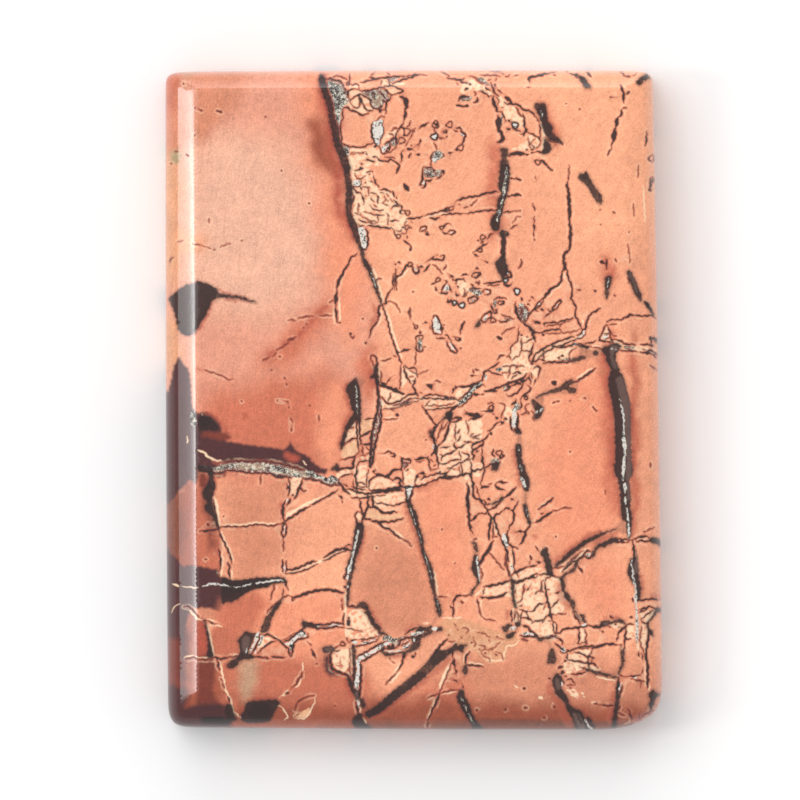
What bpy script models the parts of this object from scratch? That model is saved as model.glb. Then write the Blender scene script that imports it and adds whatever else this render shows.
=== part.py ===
"""A mookaite cabochon: one rectangular stone, flat on its back, with a bevelled shoulder and a low crown.

Units are metres and +Z is up. The stone lies on its back, with its top edge towards +Y.
The origin is the middle of the base.
"""

import math

import bmesh
import bpy

MM = 0.001

# The plan: four corners, where the sides would meet if no corner were rounded
TOP_LEFT = (-15.06 * MM, 19.93 * MM)
TOP_RIGHT = (14.52 * MM, 19.99 * MM)
FOOT_RIGHT = (15.12 * MM, -20.01 * MM)
FOOT_LEFT = (-14.90 * MM, -19.85 * MM)

# How wide the bevelled shoulder is on each side, seen from above
SHOULDER_LEFT = 1.95 * MM
SHOULDER_TOP = 1.12 * MM
SHOULDER_RIGHT = 1.75 * MM
SHOULDER_FOOT = 2.28 * MM

# The lower right corner is ground back by a short slanting side, which rounds it more than the others
CORNER_CUT_UP = 1.24 * MM
CORNER_CUT_ACROSS = 1.70 * MM
CORNER_CUT_SHOULDER = 2.00 * MM

# A higher power makes the corners squarer
CORNER_POWER = 4.3

# Each side bows outwards by this much at its middle, because it was ground by hand
SIDE_BOW = 0.06 * MM

# The height of the stone, from its flat back to the middle of the crown
THICKNESS = 5.60 * MM
CROWN = 0.35 * MM
BACK_CHAMFER = 0.40 * MM

# The shoulder: a nearly flat bevel next to the crown, then a round that turns down to the wall
BEVEL_DROP = 0.92 * MM
BEVEL_BLEND = 0.08
ROUND_DROP = 1.25 * MM
ROUND_START = 0.60

# How far down the shoulder each ring of the solid lies, from the crown's rim at 0 to the outline at 1
SHOULDER_RINGS = (0.03, 0.10, 0.22, 0.42, 0.62, 0.73, 0.82, 0.89, 0.94, 0.975, 1.0)
CROWN_RINGS = (0.86, 0.64, 0.40, 0.18)
POINTS_PER_SIDE = 26

HALF_WIDTH = 15.05 * MM
HALF_LENGTH = 20.00 * MM
BISECTIONS = 40

STONE_COLOUR = (0.80, 0.36, 0.20, 1.0)
STONE_ROUGHNESS = 0.22


class Side:
    """One side of the plan: a shallow arc between two corners, with the shoulder that it carries."""

    def __init__(self, start, end, shoulder, bow):
        self.start = start
        self.length = math.dist(start, end)
        self.along = ((end[0] - start[0]) / self.length, (end[1] - start[1]) / self.length)
        self.shoulder = shoulder
        self.bow = bow

    def depth(self, x, y):
        """How far inside this side a point lies. The corners run clockwise, so inside is to the right."""
        from_start = (x - self.start[0], y - self.start[1])
        share = (from_start[0] * self.along[0] + from_start[1] * self.along[1]) / self.length
        inward = from_start[0] * self.along[1] - from_start[1] * self.along[0]
        return inward + self.bow * 4.0 * share * (1.0 - share)


def corner_cut():
    """The slanting side across the lower right corner."""
    start = (FOOT_RIGHT[0], FOOT_RIGHT[1] + CORNER_CUT_UP)
    end = (FOOT_RIGHT[0] - CORNER_CUT_ACROSS, FOOT_RIGHT[1])
    return Side(start, end, CORNER_CUT_SHOULDER, 0.0)


SIDES = (
    Side(TOP_LEFT, TOP_RIGHT, SHOULDER_TOP, SIDE_BOW),
    Side(TOP_RIGHT, FOOT_RIGHT, SHOULDER_RIGHT, SIDE_BOW),
    Side(FOOT_RIGHT, FOOT_LEFT, SHOULDER_FOOT, SIDE_BOW),
    Side(FOOT_LEFT, TOP_LEFT, SHOULDER_LEFT, SIDE_BOW),
    corner_cut(),
)


def edge_nearness(x, y):
    """0 on the crown, 1 on the outline and more outside it. Near a corner, two sides add up to round it."""
    total = 0.0
    for side in SIDES:
        total += max(0.0, 1.0 - side.depth(x, y) / side.shoulder) ** CORNER_POWER
    return total ** (1.0 / CORNER_POWER)


def shoulder_drop(nearness):
    """How far below the crown's rim the surface lies at this nearness to the edge."""
    bevel = BEVEL_DROP * nearness**2 / (nearness + BEVEL_BLEND)
    turned = max(0.0, nearness - ROUND_START) / (1.0 - ROUND_START)
    return bevel + ROUND_DROP * (1.0 - math.sqrt(max(0.0, 1.0 - turned**2)))


def crown_height(x, y):
    """The crown's gentle swell: a product of two parabolas, highest in the middle and 0 on the outline."""
    return CROWN * (1.0 - (x / HALF_WIDTH) ** 2) * (1.0 - (y / HALF_LENGTH) ** 2)


def top_height(x, y, nearness):
    """The height of the polished top over a point of the plan."""
    return THICKNESS - CROWN + crown_height(x, y) - shoulder_drop(nearness)


def directions():
    """Points on the unrounded outline, close together at the corners, that the rings' points lie towards."""
    corners = (TOP_LEFT, TOP_RIGHT, FOOT_RIGHT, FOOT_LEFT)
    found = []
    for index, start in enumerate(corners):
        end = corners[(index + 1) % len(corners)]
        for step in range(POINTS_PER_SIDE):
            share = (1.0 - math.cos(math.pi * step / POINTS_PER_SIDE)) / 2.0
            found.append((start[0] + (end[0] - start[0]) * share, start[1] + (end[1] - start[1]) * share))
    return found


def ring(nearness):
    """The closed line of the plan on which edge_nearness has one value, found by halving along each direction."""
    points = []
    for x, y in directions():
        near, far = 0.5, 1.01
        for _ in range(BISECTIONS):
            middle = (near + far) / 2.0
            if edge_nearness(x * middle, y * middle) < nearness:
                near = middle
            else:
                far = middle
        points.append((x * near, y * near))
    return points


def shrunk(points, inset):
    """The ring moved in by about one distance all round, for the chamfer at the back."""
    across = 1.0 - inset / HALF_WIDTH
    along = 1.0 - inset / HALF_LENGTH
    return [(x * across, y * along) for x, y in points]


def stone_levels():
    """Every ring of the solid from the back to the crown, as lists of (x, y, z)."""
    outline = ring(1.0)
    levels = [
        [(x, y, 0.0) for x, y in shrunk(outline, BACK_CHAMFER)],
        [(x, y, BACK_CHAMFER) for x, y in outline],
    ]
    for nearness in reversed(SHOULDER_RINGS):
        levels.append([(x, y, top_height(x, y, nearness)) for x, y in ring(nearness)])
    rim = ring(SHOULDER_RINGS[0])
    for share in CROWN_RINGS:
        levels.append([(x * share, y * share, top_height(x * share, y * share, 0.0)) for x, y in rim])
    return levels


def extrude_to(mesh, cap, level):
    """Extrudes the cap face and moves its points to the next ring. Returns the new cap."""
    made = bmesh.ops.extrude_face_region(mesh, geom=[cap])["geom"]
    bmesh.ops.delete(mesh, geom=[cap], context="FACES_ONLY")
    new_cap = next(item for item in made if isinstance(item, bmesh.types.BMFace))
    start = new_cap.loops[0].vert
    offset = min(range(len(level)), key=lambda i: math.dist(start.co[:2], level[i][:2]))
    for step, loop in enumerate(new_cap.loops):
        loop.vert.co = level[(offset + step) % len(level)]
    return new_cap


def build_stone(collection):
    """One closed solid: the back's outline, drawn up ring by ring and closed at the middle of the crown."""
    levels = [list(reversed(level)) for level in stone_levels()]
    mesh = bmesh.new()
    base = mesh.faces.new([mesh.verts.new(point) for point in levels[0]])
    back = bmesh.ops.duplicate(mesh, geom=[base])["geom"]
    back_face = next(item for item in back if isinstance(item, bmesh.types.BMFace))
    back_face.normal_flip()
    cap = base
    for level in levels[1:]:
        cap = extrude_to(mesh, cap, level)
    middle = bmesh.ops.poke(mesh, faces=[cap])["verts"][0]
    middle.co = (0.0, 0.0, THICKNESS)
    bmesh.ops.remove_doubles(mesh, verts=mesh.verts, dist=0.001 * MM)
    bmesh.ops.recalc_face_normals(mesh, faces=mesh.faces)

    data = bpy.data.meshes.new("stone")
    mesh.to_mesh(data)
    mesh.free()
    data.shade_smooth()
    data.set_sharp_from_angle(angle=math.radians(40.0))
    data.materials.append(stone_material())
    stone = bpy.data.objects.new("stone", data)
    collection.objects.link(stone)
    return stone


def stone_material():
    """Polished salmon-coloured chert, seen as one average colour."""
    material = bpy.data.materials.new("polished_stone")
    material.use_nodes = True
    shader = material.node_tree.nodes["Principled BSDF"]
    shader.inputs["Base Color"].default_value = STONE_COLOUR
    shader.inputs["Roughness"].default_value = STONE_ROUGHNESS
    shader.inputs["Metallic"].default_value = 0.0
    return material


def main():
    for old in list(bpy.data.objects):
        bpy.data.objects.remove(old)
    collection = bpy.data.collections.new("mookaite_cabochon")
    bpy.context.scene.collection.children.link(collection)
    build_stone(collection)


main()
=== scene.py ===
# %% [markdown]
# # A mookaite cabochon
#
# A cabochon is a stone that is ground and polished smooth, not cut into facets. This one is a
# rectangle of mookaite, a chert from old sea beds. The rock was broken and healed again and
# again, and each healing left a vein. The whole likeness is in those veins, so this lesson
# spends most of its cells on them: they are traced as lines, measured as distances on a mesh
# that follows them, and coloured in one material.
#
# The first cell loads the imported solid.

# %% Load the solid that the stone is built on
import math

import bpy
import numpy as np
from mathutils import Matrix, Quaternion, Vector
from mathutils.geometry import delaunay_2d_cdt


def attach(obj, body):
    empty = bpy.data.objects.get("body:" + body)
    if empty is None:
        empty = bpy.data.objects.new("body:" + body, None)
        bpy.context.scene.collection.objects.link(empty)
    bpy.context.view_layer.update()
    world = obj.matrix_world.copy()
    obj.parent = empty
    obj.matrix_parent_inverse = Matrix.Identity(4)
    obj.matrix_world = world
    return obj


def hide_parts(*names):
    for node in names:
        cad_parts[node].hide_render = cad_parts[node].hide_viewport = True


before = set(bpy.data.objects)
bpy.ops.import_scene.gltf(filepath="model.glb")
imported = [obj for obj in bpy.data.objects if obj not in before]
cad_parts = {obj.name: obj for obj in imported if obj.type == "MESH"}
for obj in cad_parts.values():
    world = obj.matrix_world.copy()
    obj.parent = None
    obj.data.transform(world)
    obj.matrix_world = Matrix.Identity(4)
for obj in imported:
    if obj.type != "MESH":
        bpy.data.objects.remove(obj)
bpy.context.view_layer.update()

# %% [markdown]
# ## The plan
#
# Seen from above, the stone is four shallow arcs and a short slanting side at the lower right
# corner, where it was ground rounder. Each side carries a bevelled shoulder of its own width.
# Rounded corners could be arcs joined to lines, but then every ring of the shoulder needs its
# own arcs. A power mean of the sides' distances is shorter: one number says how near a point
# is to the edge, and its level lines are rounded rectangles that shrink smoothly to the crown.

# %% The stone's driving sizes
MM = 0.001
TOP_LEFT = (-15.06 * MM, 19.93 * MM)
TOP_RIGHT = (14.52 * MM, 19.99 * MM)
FOOT_RIGHT = (15.12 * MM, -20.01 * MM)
FOOT_LEFT = (-14.90 * MM, -19.85 * MM)
SHOULDER_LEFT = 1.95 * MM
SHOULDER_TOP = 1.12 * MM
SHOULDER_RIGHT = 1.75 * MM
SHOULDER_FOOT = 2.28 * MM
CORNER_CUT_UP = 1.24 * MM
CORNER_CUT_ACROSS = 1.70 * MM
CORNER_CUT_SHOULDER = 2.00 * MM
CORNER_POWER = 4.3
SIDE_BOW = 0.06 * MM
THICKNESS = 5.60 * MM
CROWN = 0.35 * MM
BACK_CHAMFER = 0.40 * MM
BEVEL_DROP = 0.92 * MM
BEVEL_BLEND = 0.08
ROUND_DROP = 1.25 * MM
ROUND_START = 0.60
HALF_WIDTH = 15.05 * MM
HALF_LENGTH = 20.00 * MM
print(f"half the stone is {HALF_WIDTH / MM:.2f} by {HALF_LENGTH / MM:.2f} mm")

# %% How near a point of the plan is to the edge
CUT_START = (FOOT_RIGHT[0], FOOT_RIGHT[1] + CORNER_CUT_UP)
CUT_END = (FOOT_RIGHT[0] - CORNER_CUT_ACROSS, FOOT_RIGHT[1])
SIDES = (
    (TOP_LEFT, TOP_RIGHT, SHOULDER_TOP, SIDE_BOW),
    (TOP_RIGHT, FOOT_RIGHT, SHOULDER_RIGHT, SIDE_BOW),
    (FOOT_RIGHT, FOOT_LEFT, SHOULDER_FOOT, SIDE_BOW),
    (FOOT_LEFT, TOP_LEFT, SHOULDER_LEFT, SIDE_BOW),
    (CUT_START, CUT_END, CORNER_CUT_SHOULDER, 0.0),
)


def edge_nearness(plan):
    """0 on the crown and 1 on the outline, for an array of points (x, y).

    Each side gives 1 - depth / shoulder, where depth is the distance inside its line plus the
    arc's bow, 4 * bow * t * (1 - t). The result is the power mean (sum of side^p)^(1/p).
    """
    total = np.zeros(len(plan))
    for start, end, shoulder, bow in SIDES:
        run = np.subtract(end, start)
        length = np.hypot(*run)
        along = run / length
        offset = plan - start
        share = offset @ along / length
        depth = offset @ (along[1], -along[0]) + 4.0 * bow * share * (1.0 - share)
        total += np.maximum(0.0, 1.0 - depth / shoulder) ** CORNER_POWER
    return total ** (1.0 / CORNER_POWER)


middle_and_edge = edge_nearness(np.array([(0.0, 0.0), (HALF_WIDTH - 0.02 * MM, 0.0)]))
print("nearness in the middle and by the right edge:", middle_and_edge.round(3))

# %% [markdown]
# ## The height
#
# A shoulder ground on a wheel has two parts: a bevel that is nearly flat, then a round that
# turns down to the wall. Both are functions of the nearness. The slopes come from the same
# formulas, so the shading normals are exact and the highlights run straight along the bevel,
# whatever triangles lie under them.

# %% The height and the shading normal of the polished top


def top_height(plan, nearness):
    """Crown minus shoulder.

    The crown is C * (1 - X^2) * (1 - Y^2) with X and Y the shares of the half sizes. The
    shoulder drops by bevel * m^2 / (m + blend), plus a quarter circle from m = ROUND_START.
    """
    across, along = plan[:, 0] / HALF_WIDTH, plan[:, 1] / HALF_LENGTH
    crown = CROWN * (1.0 - across**2) * (1.0 - along**2)
    bevel = BEVEL_DROP * nearness**2 / (nearness + BEVEL_BLEND)
    turned = np.clip((nearness - ROUND_START) / (1.0 - ROUND_START), 0.0, 1.0)
    return THICKNESS - CROWN + crown - bevel - ROUND_DROP * (1.0 - np.sqrt(1.0 - turned**2))


def nearness_slope(plan, step=0.01 * MM):
    """The gradient of edge_nearness, from differences of 2 * step in x and in y."""
    across, along = np.array((step, 0.0)), np.array((0.0, step))
    by_x = edge_nearness(plan + across) - edge_nearness(plan - across)
    by_y = edge_nearness(plan + along) - edge_nearness(plan - along)
    return np.stack((by_x, by_y), axis=1) / (2.0 * step)


def top_normals(plan, nearness):
    """The unit vector along (-dz/dx, -dz/dy, 1), with each formula of top_height differentiated."""
    across, along = plan[:, 0] / HALF_WIDTH, plan[:, 1] / HALF_LENGTH
    turned = np.clip((nearness - ROUND_START) / (1.0 - ROUND_START), 0.0, 1.0)
    bevel = BEVEL_DROP * nearness * (nearness + 2.0 * BEVEL_BLEND) / (nearness + BEVEL_BLEND) ** 2
    round_part = ROUND_DROP * turned / (1.0 - ROUND_START) / np.sqrt(np.maximum(1.0 - turned**2, 1e-5))
    slope = -(bevel + round_part)[:, None] * nearness_slope(plan)
    slope[:, 0] -= CROWN * 2.0 * across / HALF_WIDTH * (1.0 - along**2)
    slope[:, 1] -= CROWN * 2.0 * along / HALF_LENGTH * (1.0 - across**2)
    normals = np.column_stack((-slope, np.ones(len(plan))))
    return normals / np.linalg.norm(normals, axis=1, keepdims=True)


wall_top = top_height(np.array([(HALF_WIDTH, 0.0)]), np.ones(1))[0]
shoulder_drop = THICKNESS - wall_top
print(f"the wall is {wall_top * 1000:.2f} mm high under a shoulder of {shoulder_drop * 1000:.2f} mm")

# %% [markdown]
# ## The photograph's scale
#
# The veins are traced in pixels, because that is how an eye reads them off a picture. The
# stone's real length over its length in pixels turns them into metres. The calibrated size for
# a rectangular cabochon of this shape is 40 by 30 mm.

# %% From pixels to metres
STONE_LENGTH = 40.0 * MM
STONE_LENGTH_PIXELS = 658.6
STONE_MIDDLE_PIXEL = np.array((413.5, 400.1))
PIXEL = STONE_LENGTH / STONE_LENGTH_PIXELS


def to_plan(pixels):
    """Pixels count right and down, the plan counts right and up, both from the stone's middle."""
    return (np.asarray(pixels, float) - STONE_MIDDLE_PIXEL) * (PIXEL, -PIXEL)


print(f"one pixel is {PIXEL * 1000:.4f} mm")

# %% [markdown]
# ## The camera
#
# The picture is taken from straight above with a long lens, so the far edges aren't smaller
# than the near ones. A lens of 1.5 metres from two metres away does the same. The camera comes
# before the pieces, so that each step can be looked at as soon as it is made.

# %% A camera that looks straight down
PICTURE_SIDE_PIXELS = 800
CAMERA_HEIGHT = 2.0

camera_data = bpy.data.cameras.new("overhead_camera")
camera_data.sensor_width = 36.0
camera_data.lens = 36.0 * (CAMERA_HEIGHT - wall_top) / (PICTURE_SIDE_PIXELS * PIXEL)
camera_data.clip_end = 10.0
camera = bpy.data.objects.new("overhead_camera", camera_data)
picture_middle = to_plan((PICTURE_SIDE_PIXELS / 2, PICTURE_SIDE_PIXELS / 2))
camera.location = (picture_middle[0], picture_middle[1], CAMERA_HEIGHT)
bpy.context.scene.collection.objects.link(camera)
bpy.context.scene.camera = camera
print(f"the lens is {camera_data.lens:.0f} mm long")

# %% [markdown]
# ## The tints
#
# These are the stone's colours as a screen shows them: red, green and blue from 0 to 255.
# Russet and the dark brown under it in the table also serve as painted shade along the foot.
# They were chosen, then corrected to bring the mean colours of some areas nearer to the photograph's.

# %% Named tints
TINTS = {
    "peach": (241, 161, 124),
    "apricot": (248, 170, 130),
    "blush": (234, 176, 148),
    "salmon": (238, 148, 112),
    "adobe": (212, 134, 102),
    "clay": (204, 111, 82),
    "russet": (160, 78, 52),
    # A dark brown of the left bevel, which also paints shade along the foot
    "dust": (128, 66, 46),
    "rose": (226, 152, 124),
    "terracotta": (196, 106, 78),
    "rust": (176, 78, 58),
    "brick": (120, 48, 33),
    "maroon": (76, 32, 34),
    "umber": (46, 20, 17),
    "ink": (30, 13, 12),
    "tan": (196, 150, 118),
    "olive": (168, 142, 106),
    "buff": (222, 156, 116),
    "sand": (234, 178, 136),
    "cream": (255, 222, 184),
    "white": (222, 216, 206),
    "quartz_grey": (110, 106, 100),
    "quartz_pale": (212, 206, 188),
    "ash": (112, 84, 76),
}
print(len(TINTS), "tints")

# %% [markdown]
# ## The tracings
#
# The marks were read off enlarged parts of the photograph, with a grid of pixels drawn over them.
# Each tracing below belongs to one part of the stone. A line of it starts with the kind of mark and
# its size, and the points follow, in the photograph's pixels. A backslash carries a long line on to
# the next.
#
# - dark, brown, pale, seam and stain are lines, and the size is their width.
# - umber, cream, quartz, white and ash are filled outlines.
# - spot, ring and vug stand at each of their points, and the size is their radius.
# - A tint's name is a wash, a wide soft area of the ground, and the size is its edge's softness.

# %% Washes over the whole face
# The russet bands from y 702 and y 708 and the dark brown band from y 721.5 along the foot are painted
# shade on the foot's shoulder and wall
WASHES = """
apricot 70 560,60 700,60 690,210 610,260 560,220 520,120
apricot 60 385,180 480,240 440,330 380,300
salmon 60 560,380 612,380 612,520 560,520
adobe 44 362,545 420,540 440,620 380,640 352,600
salmon 44 418,490 462,490 466,600 434,600
salmon 44 540,450 602,430 610,530 560,560 545,510
salmon 34 578,572 620,566 622,618 600,620
adobe 50 225,490 285,490 280,560 235,580
adobe 40 455,655 640,665 660,720 455,720
salmon 40 235,590 350,600 345,650 250,650
terracotta 30 225,662 350,662 358,720 225,720
clay 30 360,705 420,690 460,680 460,740 360,740
russet 22 220,708 660,708 660,760 220,760
dust 4 150,721.5 670,724 670,760 150,760
rose 30 150,50 328,50 345,180 372,290 372,345 350,470 200,470 150,480
blush 56 196,150 270,140 305,190 315,270 285,310 215,310 185,260
salmon 34 300,80 325,80 345,180 366,270 352,340 328,290 318,190
adobe 22 165,60 250,60 230,110 200,140 165,130
tan 14 160,60 196,60 186,84 178,110 160,118
clay 44 214,392 335,376 352,470 214,470 200,425
clay 26 262,362 285,335 318,304 332,312 312,345 280,366
salmon 20 318,400 345,392 345,470 322,470
rust 12 318,84 331,84 343,160 348,215 357,240 350,240 339,222 330,170
russet 16 306,122 322,122 334,168 318,166
apricot 16 170,233 200,236 205,250 185,253 170,250
russet 10 178,492 200,484 201,567 178,562
dust 12 150,500 180,492 181,562 150,560
buff 16 150,150 178,150 179,236 150,236
adobe 14 150,100 178,100 179,150 150,150
clay 24 150,50 178,50 180,104 150,110
buff 20 150,236 178,236 179,280 150,280
buff 18 150,322 178,322 178,362 150,372
terracotta 5 199,616 203,619 208,640 212,657 199,657
brick 9 178,610 190,612 192,662 191,712 178,712
russet 9 190,610 199,612 201,662 199,706 190,706
maroon 9 150,612 180,612 182,716 150,716
brick 6 199,640 210,640 214,672 212,722 199,722
russet 14 196,664 216,664 226,705 226,722 190,722
terracotta 26 236,655 300,668 356,668 358,722 236,722
russet 14 225,702 365,708 460,704 460,722 225,722
clay 12 488,150 500,150 500,230 490,236
clay 12 538,104 548,104 560,145 550,145
clay 10 600,350 614,350 616,500 606,500
clay 8 630,350 637,350 638,520 630,520
clay 14 360,355 377,350 372,394 362,394
clay 12 602,256 612,256 612,282 602,280
"""
print(len(WASHES.splitlines()) - 1, "marks")

# %% The fault and the broken rock beside its upper end
FAULT_AND_UPPER_BRECCIA = """
umber 0 319,76 319,84 322,92 325,101 328,110 329,120 331.5,130 333,140 336,150 340,160 344,170 \
351,170 349,163 347,155 343,147 340,140 339,130 336,122 334,114 333,105 331,98 328,90 326,82 323,75
quartz 0 328,81 336,82 343,85 347,90 348,98 349,103 344,107 341,113 341,120 339,126 337,122 335,114 \
334,105 332,97 329,90
dark 2.4 326,79 331,79 336,80.5 341,82 344,87
brown 1.6 333,77 339,76 343,78 348,80.5
dark 1.6 350,74 349.5,80 349,84
ring 1.6 348,84
dark 1.5 349,82 352,85 358,84.5 359,90
dark 1.6 344,89 349,91 352,89.5 355,89 358,90.5
dark 2.2 347,90 348,95 349,99
dark 1.9 359,90.5 363,91 368,91 374,89.5 380,88 384,87 389,86.3 395,87 399,89 402,90.5 403.5,91.5 \
401,93 398,93.5 395,94.5 393,95
spot 1.4 359,95 368,160 362,164 361,168
dark 2.0 359,95 361,99 363,104 366,109 368,111 373,111
cream 0 350,85 358,86 359,90 361,92 371,98 372,106 374,110 368,111 366,114 358,112 350,108 349,100 \
349,92
dark 1.5 350.5,104 351,100 353,98 356,96.5 359,97 359.5,101 360,106 357,108 353,107 351,104
dark 2.2 343,109 344,108 347,108 350,110 354,111.5 358,113.5 362,115.5 365,115 369,113.5
dark 1.7 343,109 342.5,113 343,118 341,123 340.5,128 341,134 342,138 341,141 343,144 347,146 352,147 \
358,147.5 364,147.5 367,145 372,144 375,143.5
white 0 338.5,119 340.5,119 340,125 338.8,124
quartz 0 343,147 349,148 349,156 346,154
cream 0 349,150 353,148.5 360,149 366,149.5 372,147 377,148 381,154 378,160 384,162 380,166 373,165 \
366,168 362,172 351,172 349,160
brown 1.3 350,155 353,152
brown 1.3 353,154.5 357,153.5 362,153 366,152
dark 2.0 361,83 366,81.5 371,80.5 377,79 384,78 392,77 400,76.5 405,76.3
dark 2.0 392,83.5 398,82 404,79.5 410,78 415,76 421,75
dark 1.2 406,76.5 412,75.2 418,74.5 424,75.5 427,75
dark 2.4 370,77 374,79
brown 1.5 371,77 373,74 375,72
brown 1.5 386,72 390,75
quartz 0 388,78.5 395,77.5 400,77.5 396,80 391,82 389,84
cream 0 381,79.5 388,79 390,83 398,82 406,84 396,86 389,86 383,86.5
brown 1.5 381.5,80 381.5,85
dark 1.8 388,79 389,82 389,86
cream 0 384,87.5 390,87 396,88 401,90.5 398,92 394,94 391,93 388,92 386,89
dark 2.2 383,88 386,90.5 388,93 390,94.5 392,95.5
quartz 0 361,92 370,91 380,89.5 386,91 388,95 389,99 386,101 384,104 382,108 380,110 375,109 372,106 \
371,101 369,98 365,95
dark 2.0 360,94 364,96 368,98.5 370.5,101 371,105 373,108 377,109.5 381,110.5 385,110.5
dark 2.2 390,97 391,99 388,101 386,105 386,110 385.5,114
spot 1.3 383,95 385,98 384,102 381,107 380,112
white 0 372.5,124 373,121.5 377,121.5 380,119 383,121 383,125 384,131 382,136 380,141 379,146 377,146 \
374,142 372.5,137 372,131
dark 2.3 373,123 371.5,127 372,134 373,139 375,143 377,146
brown 1.6 373,122.5 377,122 379,118 382,116.5 385,117
dark 1.5 383,121 382.5,126 384,131 382,137 380,142 379,147
brown 1.4 374,127 377,128.5 380,127.5
spot 1.3 375,147 367,154 374,157 374,162 363,153
dark 5.0 402,97 405,99 406,102 406.5,107 405.5,110
dark 3.2 405.5,110 405,116 404,121
dark 2.1 404,121 401,127 398,131 396,134 396,138 397,143 396,148
dark 3.5 400,97 403,97
brown 1.8 391,131 394,129 398,128.5 400,129
brown 1.6 389,134 392,135 394,137
cream 0 391,132 396,130 398,132 396,137 392,136 386,140 383,143 381,144 383,138 386,133
quartz 0 384,145 389,142 392,138 396,137 397,143 395,147 391,145 387,147
white 0 381,147.5 385,146 388,146 386,150 384,153 382,151
dark 1.8 380,147 381,151 383,154 386,152 388,148 390,145
dark 2.6 385,144.5 389,142 393,139.5 396,138
brown 1.6 383,154 388,153 392,151 395,148 397,144
brown 1.6 385,157 389,158 394,157.5 395,159
dark 1.9 376,157 379,160 383,161.5 388,161.5 391,160 394,161 397,163 399,165 400,168
dark 2.0 391,145 390,149 388,152
brown 1.8 406,128 409,125 411,121
ring 3.4 407,132
brown 1.8 415,129 412,130 413,134 410,138
brown 1.3 408,141 407,145 405,147
dark 3.2 407,149 412,149.5
dark 2.2 411,153 409,158
dark 2.3 402,151 401.5,156 402,161
ring 3.2 401.5,141
spot 1.2 403,128 414,131 412,146 404,136
dark 2.8 419.5,128.5 423,126 428,123.5
dark 2.8 420,139 420,143
dark 3.2 416.5,155 420,155
ring 3.4 435.5,125
dark 2.6 434,124 438,127
vug 3.2 434.5,137
dark 2.4 434,130 435,132
brown 1.7 434,143 436,147 437,150
quartz 0 433,153 437,150.5 442,152 444,157 439,160 435,163 432,160
white 0 432,158 436,157 437,161 433,163
dark 2.2 433,152 431,158 431,163
ring 2.9 449.5,125
spot 1.2 446,126 457,128.5 459.5,127.5 447,131 446,133 447,137
dark 2.6 461,129 462,133 465,135 466,137 464,139 463,142 461,145
white 0 460,131 462,134 465,136 462,137 460,134
ring 2.9 460.5,148
spot 1.5 456.5,150
dark 1.8 449,152 450,154 453,152
dark 2.0 443,154 444.5,157
brown 2.0 437,136 440,138 444,139
brown 1.8 454,131 457,132
dark 2.1 447,78 451,79 456,79.5 461,80 464,78
dark 2.0 459,80 462,83 466,83
brown 1.5 456,83.5 459,85.5
dark 3.2 468,97 463,97 460,98 459,101
dark 3.2 456,105.5 460,106 463,107.5
brown 1.5 440,72 446,74 449,76 447,78
"""
print(len(FAULT_AND_UPPER_BRECCIA.splitlines()) - 1, "marks")

# %% Specks and cracks of the rose block, and the stains that its cracks feed
LEFT_BLOCK = """
olive 6 172,151 180,150 182,156 178,164 171,161
brown 1.6 175,152 179,151.5
dark 1.4 186,154.5 189,156.5
spot 1.1 195.5,108 202,111 217,111 222,112.5 195,135.5 184,84 266,117 282,171 309.5,203.5
brown 1.5 209,218.5 209.5,223
spot 1.0 171.5,164
brown 1.2 178,241.5 183,241
brown 1.4 193,243.5 197,244.5 200,245.3 203,245.8
brown 1.0 207,247.5 211,249
dark 1.5 213,249.5 216,249.5
brown 1.0 220,247 226,245 231,243.5
brown 1.2 241,240.8 243,240.3
dark 2.0 173.5,257.5 171,259.5 169,262
umber 0 168.5,298 172,295.5 176,292 179,289.5 183,287 188,284.5 193,283.5 196,281.5 200,281.5 205,283 \
210,284.5 214,287 218,290 219,293.5 224,294 230,295.3 236,295.8 243,297 248,299.3 253,300.8 257,302.3 \
252,302.2 246,300.8 240,298.8 234,298.4 228,298 220,298 214,300 211,304 208.5,310 206,315 203,320 \
200,325 197,330 195,333.5 190,335.5 185,335.5 181,332.5 178.5,329 177,323 175.5,317 174,311 171.5,305 \
169.5,301
stain 5 213,299 210,306 207,314 203,322 199,330
stain 3.4 219,290 226,293.5 233,296 241,298.5 249,301
stain 2.6 224,299 231,300 238,301.5
stain 5.5 263,361 268,358 272,354 276,350.5 281,348 286,344 290,340.5 296,337.5 301,333 305,328 \
309,324 312,319 316,316 320,312 324,308.5 328,305.5
brown 2.2 288,340 292,339 296,337.2
brown 1.4 288,320 292,320 296,321
brown 1.5 298.5,318.5 303,317.3 309,316.2 314,316.4
brown 1.2 319,315.6 325,315.6 331,315.3
brown 1.5 263,361 267,358.5 270,357
brown 1.4 276,350 281,348 286,344.5 289,341.5
brown 1.3 273,356 277,353
spot 0.9 280,356.5 307,324 304,328
dark 3.0 348.5,264 346,268 344,271.5 342,275 340,279 338.3,283 337,288
dark 3.8 337,291.5 336.3,296 335.8,300 336,304.5
dark 2.6 336,307.5 335.8,310 336.5,314 336.7,318 337,322.5
pale 1.8 345,274 342,279 340,284
pale 1.6 339,298 339.5,306 340,314 340,321
pale 1.2 334,308 334,316 334.5,323
brown 1.6 329,302.2 331.5,301.4 334,300.5
spot 1.1 340.5,323 366,343 363,319
brown 1.6 350,333 351,336 353,339 354.5,336
spot 1.5 350.8,333.8
"""
print(len(LEFT_BLOCK.splitlines()) - 1, "marks")

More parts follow.
